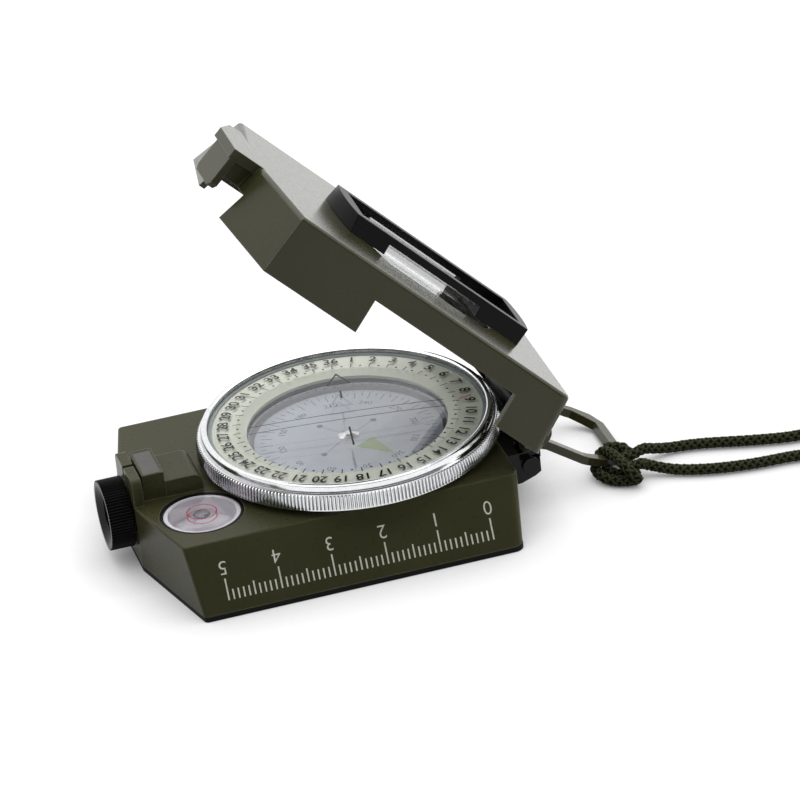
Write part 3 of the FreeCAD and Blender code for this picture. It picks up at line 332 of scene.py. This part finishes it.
class Finish:
    # a Principled material that gains noise driven colour, roughness and bump
    def __init__(self, name, color, roughness, metallic=0.0, **sockets):
        self.material = bpy.data.materials.new(name)
        self.material.use_nodes = True
        self.tree = self.material.node_tree
        self.shader = self.tree.nodes["Principled BSDF"]
        self.shader.inputs["Base Color"].default_value = color
        self.shader.inputs["Roughness"].default_value = roughness
        self.shader.inputs["Metallic"].default_value = metallic
        for key, value in sockets.items():
            self.shader.inputs[key.replace("_", " ")].default_value = value
        self.place = self.tree.nodes.new("ShaderNodeTexCoord").outputs["Object"]
        self.normal = None

    def add(self, kind, operation=None, **sockets):
        node = self.tree.nodes.new("ShaderNode" + kind)
        if operation:
            node.operation = operation
        for key, value in sockets.items():
            node.inputs[key.replace("_", " ")].default_value = value
        return node

    def link(self, start, end):
        self.tree.links.new(start, end)

    def combine(self, operation, first, second):
        # one value from two
        node = self.add("Math", operation)
        self.link(first, node.inputs[0])
        self.link(second, node.inputs[1])
        return node.outputs["Value"]

    def noise(self, scale, stretch=None):
        node = self.add("TexNoise", Scale=scale, Detail=sharedSettings["detail"],
                        Roughness=sharedSettings["roughness"])
        start = self.place
        if stretch:
            mapping = self.add("Mapping", Scale=stretch)
            self.link(start, mapping.inputs["Vector"])
            start = mapping.outputs["Vector"]
        self.link(start, node.inputs["Vector"])
        return node.outputs["Fac"]

    def mottle(self, scale, other):
        # the base colour wanders between the first colour and another
        ramp = self.add("ValToRGB")
        colors = (self.shader.inputs["Base Color"].default_value, other)
        for stop, position, color in zip(ramp.color_ramp.elements, sharedSettings["mottle"], colors):
            stop.position = position
            stop.color = color
        self.link(self.noise(scale), ramp.inputs["Fac"])
        self.link(ramp.outputs["Color"], self.shader.inputs["Base Color"])
        return self

    def polish(self, scale, low, high, stretch=None):
        # the roughness wanders from low to high
        start, end = sharedSettings["polish"]
        level = self.add("MapRange", From_Min=start, From_Max=end, To_Min=low, To_Max=high)
        self.link(self.noise(scale, stretch), level.inputs["Value"])
        self.link(level.outputs["Result"], self.shader.inputs["Roughness"])
        return self

    def rounded(self, radius, samples):
        # the way the surface would face with a small round on its edges
        bevel = self.add("Bevel", Radius=radius)
        bevel.samples = samples
        return bevel.outputs["Normal"]

    def soften(self, radius):
        # edges catch the light as a small round would
        self.normal = self.rounded(radius, sharedSettings["roundSamples"])
        self.link(self.normal, self.shader.inputs["Normal"])
        return self

    def creases(self, reach, dark):
        # painted shade in the grooves of a mottled finish: the base colour darkens where faces stand close
        close = self.add("AmbientOcclusion", Distance=reach)
        close.samples = sharedSettings["grooveShadeSamples"]
        grey = self.add("MapRange", To_Min=dark)
        shade = self.add("VectorMath", "SCALE")
        base = self.shader.inputs["Base Color"]
        self.link(close.outputs["AO"], grey.inputs["Value"])
        self.link(base.links[0].from_socket, shade.inputs[0])
        self.link(grey.outputs["Result"], shade.inputs["Scale"])
        self.link(shade.outputs["Vector"], base)
        return self

    def worn(self, radius, bright):
        # rubbed paint and painted highlight in patches along the edges, found where the rounded way leaves
        # the true one
        turn = self.add("VectorMath", "DOT_PRODUCT")
        self.link(self.rounded(radius, sharedSettings["wearHighlightSamples"]), turn.inputs[0])
        self.link(self.add("NewGeometry").outputs["Normal"], turn.inputs[1])
        start, end = sharedSettings["wearHighlightEdge"]
        edge = self.add("MapRange", From_Min=start, From_Max=end)
        self.link(turn.outputs["Value"], edge.inputs["Value"])
        patches = self.noise(sharedSettings["wearHighlightPatches"])
        mix = self.add("MixRGB", Color2=bright)
        base = self.shader.inputs["Base Color"]
        self.link(self.combine("MULTIPLY", edge.outputs["Result"], patches), mix.inputs["Fac"])
        self.link(base.links[0].from_socket, mix.inputs["Color1"])
        self.link(mix.outputs["Color"], base)
        return self

    def grain(self, scale, depth, strength):
        bump = self.add("Bump", Strength=strength, Distance=depth)
        self.link(self.noise(scale), bump.inputs["Height"])
        if self.normal:
            self.link(self.normal, bump.inputs["Normal"])
        self.link(bump.outputs["Normal"], self.shader.inputs["Normal"])
        return self


def clearFinish(name, tint, gloss, mirror=0.045, edge=1.0):
    # clear sheet, the same from both sides, that mirrors from "mirror" face on to "edge" at a flat angle
    finish = Finish(name, tint, gloss)
    through = finish.add("BsdfTransparent", Color=tint)
    shine = finish.add("BsdfAnisotropic", Roughness=gloss, Color=(1, 1, 1, 1))
    weight = finish.add("LayerWeight", Blend=0.5)
    power = finish.add("Math", "POWER")
    power.inputs[1].default_value = 5.0      # the fifth power is how glass turns to a mirror
    level = finish.add("MapRange", To_Min=mirror, To_Max=edge)
    mix = finish.add("MixShader")
    finish.link(weight.outputs["Facing"], power.inputs[0])
    finish.link(power.outputs["Value"], level.inputs["Value"])
    finish.link(level.outputs["Result"], mix.inputs["Fac"])
    finish.link(through.outputs["BSDF"], mix.inputs[1])
    finish.link(shine.outputs["BSDF"], mix.inputs[2])
    finish.link(mix.outputs["Shader"], finish.tree.nodes["Material Output"].inputs["Surface"])
    finish.tree.nodes.remove(finish.shader)
    return finish


def oliveFinish(name, color, other, low, high, **sockets):
    # satin paint over the casting, rubbed pale along its edges, the pale edges being wear and a painted
    # highlight
    finish = Finish(name, color, (low + high) / 2, **sockets).mottle(60, other)
    # the pale edge colour stands for rubbed paint and a painted highlight
    finish.worn(0.0003, tone(150, 150, 124)).polish(900, low, high)
    return finish.soften(0.0003).grain(2600, 0.00001, 0.25)


finishes = {
    "olive_paint": oliveFinish("olivePaint", tone(64, 64, 40), tone(69, 69, 44), 0.26, 0.34,
                               Specular_IOR_Level=0.15),
    "olive_lid": oliveFinish("oliveLid", tone(58, 58, 36), tone(63, 63, 40), 0.22, 0.3,
                             Specular_IOR_Level=0.1, Coat_Weight=0.85, Coat_Roughness=0.2, Coat_IOR=1.3),
    "black_metal": Finish("blackMetal", tone(12, 12, 11), 0.3, Specular_IOR_Level=0.18)
    .mottle(300, tone(17, 17, 16)).soften(0.0002).grain(3000, 0.00002, 0.3),
    "black_plastic": Finish("blackPlastic", tone(8, 8, 10), 0.32, Specular_IOR_Level=0.15)
    .mottle(200, tone(13, 13, 15)).soften(0.0002).grain(2500, 0.00002, 0.4),
    "black_cover": Finish("blackCover", tone(11, 11, 11), 0.6, Specular_IOR_Level=0.15)
    .mottle(200, tone(17, 17, 16)).grain(2000, 0.00003, 0.5),
    # the bezel's teeth get painted shade in their grooves
    "bezel_metal": Finish("bezelMetal", tone(238, 239, 240), 0.16, 1.0).mottle(900, tone(228, 230, 232))
    .creases(0.0004, 0.42).polish(700, 0.12, 0.22, stretch=(1, 1, 12)).grain(1800, 0.000006, 0.3),
    "scale_cream": Finish("scaleCream", tone(246, 248, 232), 0.5).mottle(150, tone(240, 243, 226)),
    "dial_crystal": clearFinish("dialCrystal", (0.99, 0.993, 0.993, 1), 0.015, 0.012, 0.35),
    "bowl_plastic": Finish("bowlPlastic", tone(246, 244, 250), 0.4).mottle(120, tone(240, 238, 246)),
    "bowl_clear": clearFinish("bowlClear", (0.985, 0.99, 1, 1), 0.02, 0.085),
    "card_print": Finish("cardPrint", tone(232, 238, 250), 0.5).mottle(200, tone(224, 231, 245)),
    "magnet_steel": Finish("magnetSteel", tone(120, 122, 126), 0.35, 1.0).polish(500, 0.3, 0.45),
    "cap_metal": Finish("capMetal", tone(225, 225, 225), 0.15, 1.0).polish(900, 0.1, 0.25),
    "disc_print": Finish("discPrint", tone(205, 206, 205), 0.5).mottle(200, tone(196, 198, 198)),
    "weight_brass": Finish("weightBrass", tone(170, 140, 84), 0.35, 1.0).polish(500, 0.3, 0.45),
    "brass": Finish("brass", tone(176, 146, 88), 0.3, 1.0).polish(500, 0.25, 0.4),
    "steel": Finish("steel", tone(150, 151, 154), 0.28, 1.0).polish(900, 0.22, 0.36).soften(0.0001),
    "track_metal": Finish("trackMetal", tone(150, 152, 156), 0.35, 1.0).polish(900, 0.3, 0.42),
    "gasket_rubber": Finish("gasketRubber", tone(164, 172, 175), 0.4)
    .mottle(400, tone(150, 158, 162)).grain(2500, 0.00002, 0.3),
    "level_plastic": Finish("levelPlastic", tone(244, 240, 246), 0.3).mottle(300, tone(236, 232, 238)),
    "level_fluid": clearFinish("levelFluid", (0.98, 0.98, 0.985, 1), 0.03),
    "prism_glass": Finish("prismGlass", tone(56, 55, 51), 0.32, Coat_Weight=0.25, Coat_Roughness=0.12)
    .mottle(700, tone(48, 47, 43)),
    "lens_glass": Finish("lensGlass", (1, 1, 1, 1), 0.02, Transmission_Weight=1.0, IOR=1.5),
    "window_glass": clearFinish("windowGlass", (0.97, 0.98, 0.98, 1), 0.02),
    "insert_clear": clearFinish("insertClear", (0.96, 0.965, 0.97, 1), 0.04, 0.09),
    "strip_cream": Finish("stripCream", tone(232, 236, 220), 0.5).mottle(400, tone(224, 230, 210)),
    "wire_steel": Finish("wireSteel", tone(60, 60, 62), 0.4, 0.5),
    # the braid gets painted shade between its yarns
    "cord_braid": Finish("cordBraid", tone(70, 75, 50), 0.85, Specular_IOR_Level=0.15)
    .mottle(1500, tone(60, 64, 42)).creases(0.0007, 0.08),
}
# near black under the yarns: painted shade in the gaps of the braid
cordGapShade = Finish("cordGapShade", tone(15, 17, 10), 0.9, Specular_IOR_Level=0.1).mottle(1500, tone(22, 24, 14))


def dress(item, finish):
    # the finish is all that the piece wears
    item.data.materials.clear()
    item.data.materials.append(finish.material)


for entry in frame["record"]["subparts"]:
    dress(nodes[entry["node"]], finishes[entry["material_slot"]])
dress(nodes["level_seal"], finishes["black_plastic"])      # the seal is black, the dial's gasket pale
for piece in (lanyardBraid, knotPiece):
    dress(piece, finishes["cord_braid"])
# the cores show through the braid's gaps as painted shade
for piece in (lanyardCore, knotCore):
    dress(piece, cordGapShade)
print("finishes on the nodes:", len(finishes))


# ways of making

def turnedRing(name, profile, count):
    # a round piece from its half section, ring after ring round the dial axis
    pick()
    radius, high = profile[0]
    bpy.ops.mesh.primitive_circle_add(vertices=count, radius=radius * mm, location=(0, 0, high * mm))
    piece = bpy.context.object
    piece.name = name
    bpy.ops.object.mode_set(mode="EDIT")
    bpy.ops.mesh.select_all(action="SELECT")
    for nextRadius, nextHigh in profile[1:]:
        bpy.ops.mesh.extrude_edges_move(TRANSFORM_OT_translate={"value": (0, 0, (nextHigh - high) * mm)})
        grow = nextRadius / radius
        bpy.ops.transform.resize(value=(grow, grow, 1), center_override=(0, 0, nextHigh * mm))
        radius, high = nextRadius, nextHigh
    bpy.ops.mesh.select_all(action="SELECT")
    bpy.ops.mesh.remove_doubles(threshold=0.00001)
    bpy.ops.mesh.normals_make_consistent(inside=False)
    bpy.ops.object.mode_set(mode="OBJECT")
    settle()
    return piece


def roundLine(name, spot, radius, line, sides, lineSides, flat=1.0):
    # a thin ring that lies level
    pick()
    bpy.ops.mesh.primitive_torus_add(location=[value * mm for value in spot], major_segments=sides,
                                     minor_segments=lineSides, major_radius=radius * mm,
                                     minor_radius=line * mm)
    ring = bpy.context.object
    ring.name = name
    ring.scale = (1, 1, flat)
    settle()
    return ring


def selectWhere(piece, test):
    # marks in edit mode the corners whose place passes the test
    bpy.ops.object.mode_set(mode="EDIT")
    bpy.ops.mesh.select_mode(type="VERT")
    bpy.ops.mesh.select_all(action="DESELECT")
    bpy.ops.object.mode_set(mode="OBJECT")
    for vertex in piece.data.vertices:
        vertex.select = test(vertex.co / mm)
    bpy.ops.object.mode_set(mode="EDIT")


def stroke(x, y, wide, long, turn=0.0, cuts=1):
    # a flat printed bar; long along its own Y
    bpy.ops.mesh.primitive_grid_add(x_subdivisions=1, y_subdivisions=cuts, size=mm,
                                    location=(x * mm, y * mm, 0), rotation=(0, 0, turn))
    mark = bpy.context.object
    mark.scale = (wide, long, 1)
    settle()
    return mark


def bar(a, b, wide, cuts):
    # a printed bar from one point to another
    middle = (Vector(a) + Vector(b)) / 2
    along = Vector(b) - Vector(a)
    turn = math.atan2(along.y, along.x) - quarter
    return stroke(middle.x, middle.y, wide, along.length + wide, turn, cuts)


def dot(x, y, radius, sides=12):
    bpy.ops.mesh.primitive_circle_add(vertices=sides, radius=radius * mm, fill_type="NGON",
                                      location=(x * mm, y * mm, 0))
    settle()
    return bpy.context.object


digitShare = 0.72      # how tall a digit is beside the size of its letters


def numeral(text, x, y, tall, turn, thin=0.0):
    # printed figures; tall is the height of a digit
    bpy.ops.object.text_add(location=(0, 0, 0))
    item = bpy.context.object
    item.data.body = text
    item.data.size = tall * mm / digitShare
    item.data.align_x = "CENTER"
    item.data.align_y = "CENTER"
    item.data.resolution_u = 4
    item.data.offset = -thin * mm
    bpy.ops.object.convert(target="MESH")
    item = bpy.context.object
    item.data.transform(Matrix.Translation((x * mm, y * mm, 0)) @ Matrix.Rotation(turn, 4, "Z"))
    return item


def printed(name, marks, body, finish, shape):
    # the marks as one piece, laid on their surface by the shape function
    pick(*marks)
    bpy.ops.object.join()
    piece = bpy.context.object
    piece.name = name
    for vertex in piece.data.vertices:
        vertex.co = shape(vertex.co)
    dress(piece, finish)
    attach(piece, body)
    return piece


def finishPiece(piece, body, slot, *hides, smooth):
    # shading, finish and body of a solid piece, and the nodes that it stands for
    pick(piece)
    bpy.ops.object.shade_smooth_by_angle(angle=math.radians(smooth))
    dress(piece, finishes[slot])
    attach(piece, body)
    if hides:
        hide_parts(*hides)


# turning bezel: its teeth stand out less at the top, where the closed lid's notch comes near

bezelSettings = {
    "ribs": 250, "cornersPerRib": 4, "crestCorners": 2, "root": 27.68, "near": 0.05,
    "ribBands": [(14.3, 16.0, 28.26), (16.0, 17.05, 27.97)],      # low, high, crest
    "section": [(24.65, 13.8), (27.5, 13.8), (27.68, 13.95), (27.68, 14.15), (27.68, 14.35), (27.68, 15.7),
                (27.68, 17.0), (27.68, 17.15), (27.68, 17.3), (27.6, 17.4), (27.16, 17.4), (27.1, 17.5),
                (27.1, 18.4), (27.02, 18.64), (26.8, 18.82), (26.5, 18.88), (26.2, 18.84), (25.98, 18.72),
                (25.9, 18.5), (25.9, 17.05), (24.65, 17.05), (24.65, 16.2), (25.9, 16.2), (25.9, 14.4),
                (24.65, 14.4), (24.65, 13.8)],
}
bezelCorners = bezelSettings["ribs"] * bezelSettings["cornersPerRib"]
bezelPiece = turnedRing("knurledBezel", bezelSettings["section"], bezelCorners)


def onCrest(low, high):
    # a test for the corners that the teeth lift, in one band of height
    def test(spot):
        away = abs(math.hypot(spot.x, spot.y) - bezelSettings["root"])
        if not low < spot.z < high or away > bezelSettings["near"]:
            return False
        corner = round(math.atan2(spot.y, spot.x) / math.tau * bezelCorners)
        return corner % bezelSettings["cornersPerRib"] < bezelSettings["crestCorners"]
    return test


for low, high, crest in bezelSettings["ribBands"]:
    selectWhere(bezelPiece, onCrest(low, high))
    rise = crest / bezelSettings["root"]
    bpy.ops.transform.resize(value=(rise, rise, 1), center_override=(0, 0, 0))
    bpy.ops.object.mode_set(mode="OBJECT")
finishPiece(bezelPiece, "bezel", "bezel_metal", "bezel_ring", smooth=24)
print("bezel:", len(bezelPiece.data.polygons), "faces")

# crystal: each side has its height at the edge and its rise to the middle

crystalSettings = {"wide": 25.83, "under": (17.9, 0.7), "top": (18.6, 1.5), "rings": 7, "corners": 128,
                   "middle": 0.001}      # the innermost ring is so small that it merges to a point


def crystalHeight(radius, side):
    edge, rise = crystalSettings[side]
    share = 1 - (radius / crystalSettings["wide"]) ** 2
    return edge + rise * share


crystalRadii = [max(crystalSettings["wide"] * step / crystalSettings["rings"], crystalSettings["middle"])
                for step in range(crystalSettings["rings"] + 1)]
crystalSection = [(radius, crystalHeight(radius, "under")) for radius in crystalRadii]
crystalSection += [(radius, crystalHeight(radius, "top")) for radius in reversed(crystalRadii)]
crystalPiece = turnedRing("domedCrystal", crystalSection, crystalSettings["corners"])
finishPiece(crystalPiece, "bezel", "dial_crystal", "crystal", smooth=40)

# figures on the crystal: 1 to 36 with dashes and dots, two lines, index marks and a triangle

inkFinish = Finish("dialInk", tone(9, 9, 10), 0.6, Specular_IOR_Level=0.2).mottle(900, tone(15, 15, 16))
redFinish = Finish("redInk", tone(208, 140, 132), 0.6).mottle(900, tone(214, 160, 152))
figureSettings = {
    "ring": 23.0, "tall": 2.1, "bold": 0.05, "thin": 0.2, "below": 0.03,
    "count": 36, "first": 82.0, "apart": 10,      # degrees
    "dash": 20.5, "dashLong": 1.45, "dot": 20.3, "dotWide": 0.24,
    "lineHalf": 18.3, "lineGap": 1.27, "lineTurn": -8.6, "lineCuts": 24,
    "indexTurn": 81.0, "indexWide": 0.36, "index": [(8.6, 3.1), (-8.0, 7.0)],      # middle and length
    "triangle": [(17.2, 0.0), (12.9, 2.1), (12.9, -2.1)], "triangleWide": 0.4, "triangleCuts": 4,
}
redSettings = {"turn": -5.0, "reach": 22.4, "wide": 0.45, "long": 2.6, "lean": 0.35, "cuts": 4}


def underCrystal(spot):
    high = crystalHeight(spot.xy.length / mm, "under") - figureSettings["below"]
    return Vector((spot.x, spot.y, high * mm))


marks = []
for number in range(1, figureSettings["count"] + 1):
    angle = math.radians(figureSettings["first"] - figureSettings["apart"] * number)
    marks.append(numeral(str(number), *around(figureSettings["ring"], angle), figureSettings["tall"],
                         angle - quarter, -figureSettings["bold"]))
    marks.append(stroke(*around(figureSettings["dash"], angle), figureSettings["thin"],
                        figureSettings["dashLong"], angle - quarter))
    angle += math.radians(figureSettings["apart"] / 2)
    marks.append(dot(*around(figureSettings["dot"], angle), figureSettings["dotWide"]))
lineTurn = math.radians(figureSettings["lineTurn"])
for side in (-1, 1):
    marks.append(stroke(-math.sin(lineTurn) * side * figureSettings["lineGap"],
                        math.cos(lineTurn) * side * figureSettings["lineGap"], figureSettings["thin"],
                        2 * figureSettings["lineHalf"], lineTurn - quarter, figureSettings["lineCuts"]))
indexTurn = math.radians(figureSettings["indexTurn"])
for reach, long in figureSettings["index"]:
    marks.append(stroke(*around(reach, indexTurn), figureSettings["indexWide"], long, indexTurn - quarter))
triangleTurn = Matrix.Rotation(indexTurn, 2)
triangle = [triangleTurn @ Vector(corner) for corner in figureSettings["triangle"]]
for a, b in zip(triangle, triangle[1:] + triangle[:1]):
    marks.append(bar(a, b, figureSettings["triangleWide"], figureSettings["triangleCuts"]))
figures = printed("dialFigures", marks, "bezel", inkFinish, underCrystal)
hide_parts("dial_plate")
redTurn = math.radians(redSettings["turn"])
redStroke = stroke(*around(redSettings["reach"], redTurn), redSettings["wide"], redSettings["long"],
                   redTurn - quarter + redSettings["lean"], redSettings["cuts"])
printed("redMark", [redStroke], "bezel", redFinish, underCrystal)
print("dial figures:", len(marks), "marks")

# printing on the card: figures every 30 degrees, ticks every 5, three dots on lines and the arrow

cardInk = Finish("cardInk", tone(30, 34, 46), 0.6).mottle(600, tone(42, 46, 58))
arrowInk = Finish("arrowInk", tone(178, 214, 84), 0.55).mottle(500, tone(168, 206, 76))
cardSettings = {
    "high": 14.325, "turn": -60.0, "ring": 12.6, "tall": 1.3,
    "tickOut": 16.5, "longTickIn": 14.2, "shortTickIn": 15.5, "tickWide": 0.13,
    "dots": [(32.5, 6.9), (124.5, 7.0), (-140.0, 8.0)], "dotWide": 0.62, "dotSides": 16, "dotLine": 0.1,
    "arrow": [(4.1, 2.3), (4.1, -2.3), (11.8, 0.0)],
}


def onCard(spot):
    return Vector((spot.x, spot.y, cardSettings["high"] * mm))


marks = []
for value in range(30, 361, 30):
    angle = math.radians(cardSettings["turn"] + 360 - value)
    marks.append(numeral(str(value), *around(cardSettings["ring"], angle), cardSettings["tall"],
                         angle - quarter))
for step in range(0, 360, 5):
    angle = math.radians(step)
    inner = cardSettings["longTickIn" if step % 10 == 0 else "shortTickIn"]
    middle = (inner + cardSettings["tickOut"]) / 2
    marks.append(stroke(*around(middle, angle), cardSettings["tickWide"], cardSettings["tickOut"] - inner,
                        angle - quarter))
for turn, reach in cardSettings["dots"]:
    angle = math.radians(turn)
    marks.append(dot(*around(reach, angle), cardSettings["dotWide"], cardSettings["dotSides"]))
    marks.append(stroke(*around(reach / 2, angle), cardSettings["dotLine"], reach, angle - quarter))
printed("cardFigures", marks, "card", cardInk, onCard)
print("card:", len(marks), "marks")
pick()
bpy.ops.mesh.primitive_circle_add(vertices=3, radius=mm, fill_type="NGON")
northArrow = bpy.context.object
northTurn = Matrix.Rotation(math.radians(cardSettings["turn"]), 2)
for vertex, corner in zip(northArrow.data.vertices, cardSettings["arrow"]):
    vertex.co = (northTurn @ Vector(corner)).to_3d() * mm
printed("northArrow", [northArrow], "card", arrowInk, onCard)
if northArrow.data.polygons[0].normal.z < 0:
    northArrow.data.flip_normals()

# round level: a red circle, a second red circle below it as its painted reflection, and the bubble between
# them

levelSettings = {
    "spot": (-31.9, -13.8), "high": 13.13, "circle": 2.7, "line": 0.12, "flat": 0.3, "apart": 0.95,
    "sides": 64, "lineSides": 6, "bubble": 1.6, "bubbleBelow": 0.5, "bubbleFlat": 0.26,
}
levelRed = Finish("levelRed", tone(190, 40, 84), 0.5).mottle(900, tone(176, 34, 76))
airFinish = clearFinish("levelAir", (0.42, 0.44, 0.46, 1), 0.05, 0.06)
# the lower red circle is a painted reflection of the upper one
reflectionHigh = levelSettings["high"] - levelSettings["apart"]
for name, high in (("levelCircle", levelSettings["high"]), ("levelCircleReflection", reflectionHigh)):
    circle = roundLine(name, (*levelSettings["spot"], high), levelSettings["circle"], levelSettings["line"],
                       levelSettings["sides"], levelSettings["lineSides"], levelSettings["flat"])
    dress(circle, levelRed)
    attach(circle, "base")
pick()
bubbleSpot = (*levelSettings["spot"], levelSettings["high"] - levelSettings["bubbleBelow"])
bpy.ops.mesh.primitive_uv_sphere_add(segments=40, ring_count=20, radius=levelSettings["bubble"] * mm,
                                     location=[value * mm for value in bubbleSpot])
bubble = bpy.context.object
bubble.name = "levelBubble"
bubble.scale = (1, 1, levelSettings["bubbleFlat"])
settle()
bpy.ops.object.shade_smooth()
dress(bubble, airFinish)
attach(bubble, "base")

# light rings moulded in the wall of the bowl

bowlSettings = {"radius": 18.52, "line": 0.1, "sides": 120, "lineSides": 8,
                "heights": {"bowlRingHigh": 15.35, "bowlRingLow": 14.85}}
for name, high in bowlSettings["heights"].items():
    bowlRing = roundLine(name, (0, 0, high), bowlSettings["radius"], bowlSettings["line"],
                         bowlSettings["sides"], bowlSettings["lineSides"])
    finishPiece(bowlRing, "base", "bowl_plastic", smooth=60)
print("level and bowl done")

# ruler on the sloping side, with a figure every centimetre; "low" and "rise" are y and z of the slope

rulerSettings = {
    "long": 50, "zero": 18.0, "foot": 2.27, "wide": 0.29, "cm": 3.99, "half": 2.5, "mm": 1.87,
    "figure": 8.33, "tall": 2.6, "thin": 0.02, "proud": 0.03, "low": (-30.75, 1.0), "rise": (5.6, 11.9),
}
rulerInk = Finish("rulerInk", tone(236, 236, 222), 0.55).mottle(1200, tone(220, 220, 204))
slopeTurn = math.atan2(rulerSettings["rise"][1], rulerSettings["rise"][0])
rulerPlace = (Matrix.Translation((0, rulerSettings["low"][0] * mm, rulerSettings["low"][1] * mm))
              @ Matrix.Rotation(slopeTurn, 4, "X"))


def onSlope(spot):
    return rulerPlace @ Vector((spot.x, spot.y, rulerSettings["proud"] * mm))


marks = []
for step in range(rulerSettings["long"] + 1):
    long = rulerSettings["cm" if step % 10 == 0 else "half" if step % 5 == 0 else "mm"]
    marks.append(stroke(rulerSettings["zero"] - step, rulerSettings["foot"] + long / 2, rulerSettings["wide"],
                        long))
for step in range(0, rulerSettings["long"] + 1, 10):
    marks.append(numeral(str(step // 10), rulerSettings["zero"] - step, rulerSettings["figure"],
                         rulerSettings["tall"], math.pi, rulerSettings["thin"]))
printed("rulerFigures", marks, "base", rulerInk, onSlope)
print("ruler done")

# floor: "contact" is how near the object its painted shade reaches

floorSettings = {"size": 6.0, "low": -0.00002, "color": (0.36, 0.36, 0.36, 1), "glow": 0.74,
                 "contact": 0.012, "samples": 8}


def makeFloor(settings):
    # white where the camera, glass and metal see it, with a painted contact shadow darker close under the
    # object
    pick()
    bpy.ops.mesh.primitive_plane_add(size=settings["size"], location=(0, 0, settings["low"]))
    floor = bpy.context.object
    floor.name = "floor"
    table = Finish("paleFloor", settings["color"], 0.9)
    table.shader.inputs["Emission Color"].default_value = (1, 1, 1, 1)
    path = table.add("LightPath")
    close = table.add("AmbientOcclusion", Distance=settings["contact"])
    close.samples = settings["samples"]
    seen = path.outputs["Is Camera Ray"]
    for kind in ("Is Transmission Ray", "Is Glossy Ray"):
        seen = table.combine("MAXIMUM", seen, path.outputs[kind])
    glow = table.add("Math", "MULTIPLY")
    glow.inputs[1].default_value = settings["glow"]
    # painted contact shadow: the camera's glow fades where the object stands close
    table.link(table.combine("MULTIPLY", seen, close.outputs["AO"]), glow.inputs[0])
    table.link(glow.outputs["Value"], table.shader.inputs["Emission Strength"])
    dress(floor, table)


makeFloor(floorSettings)
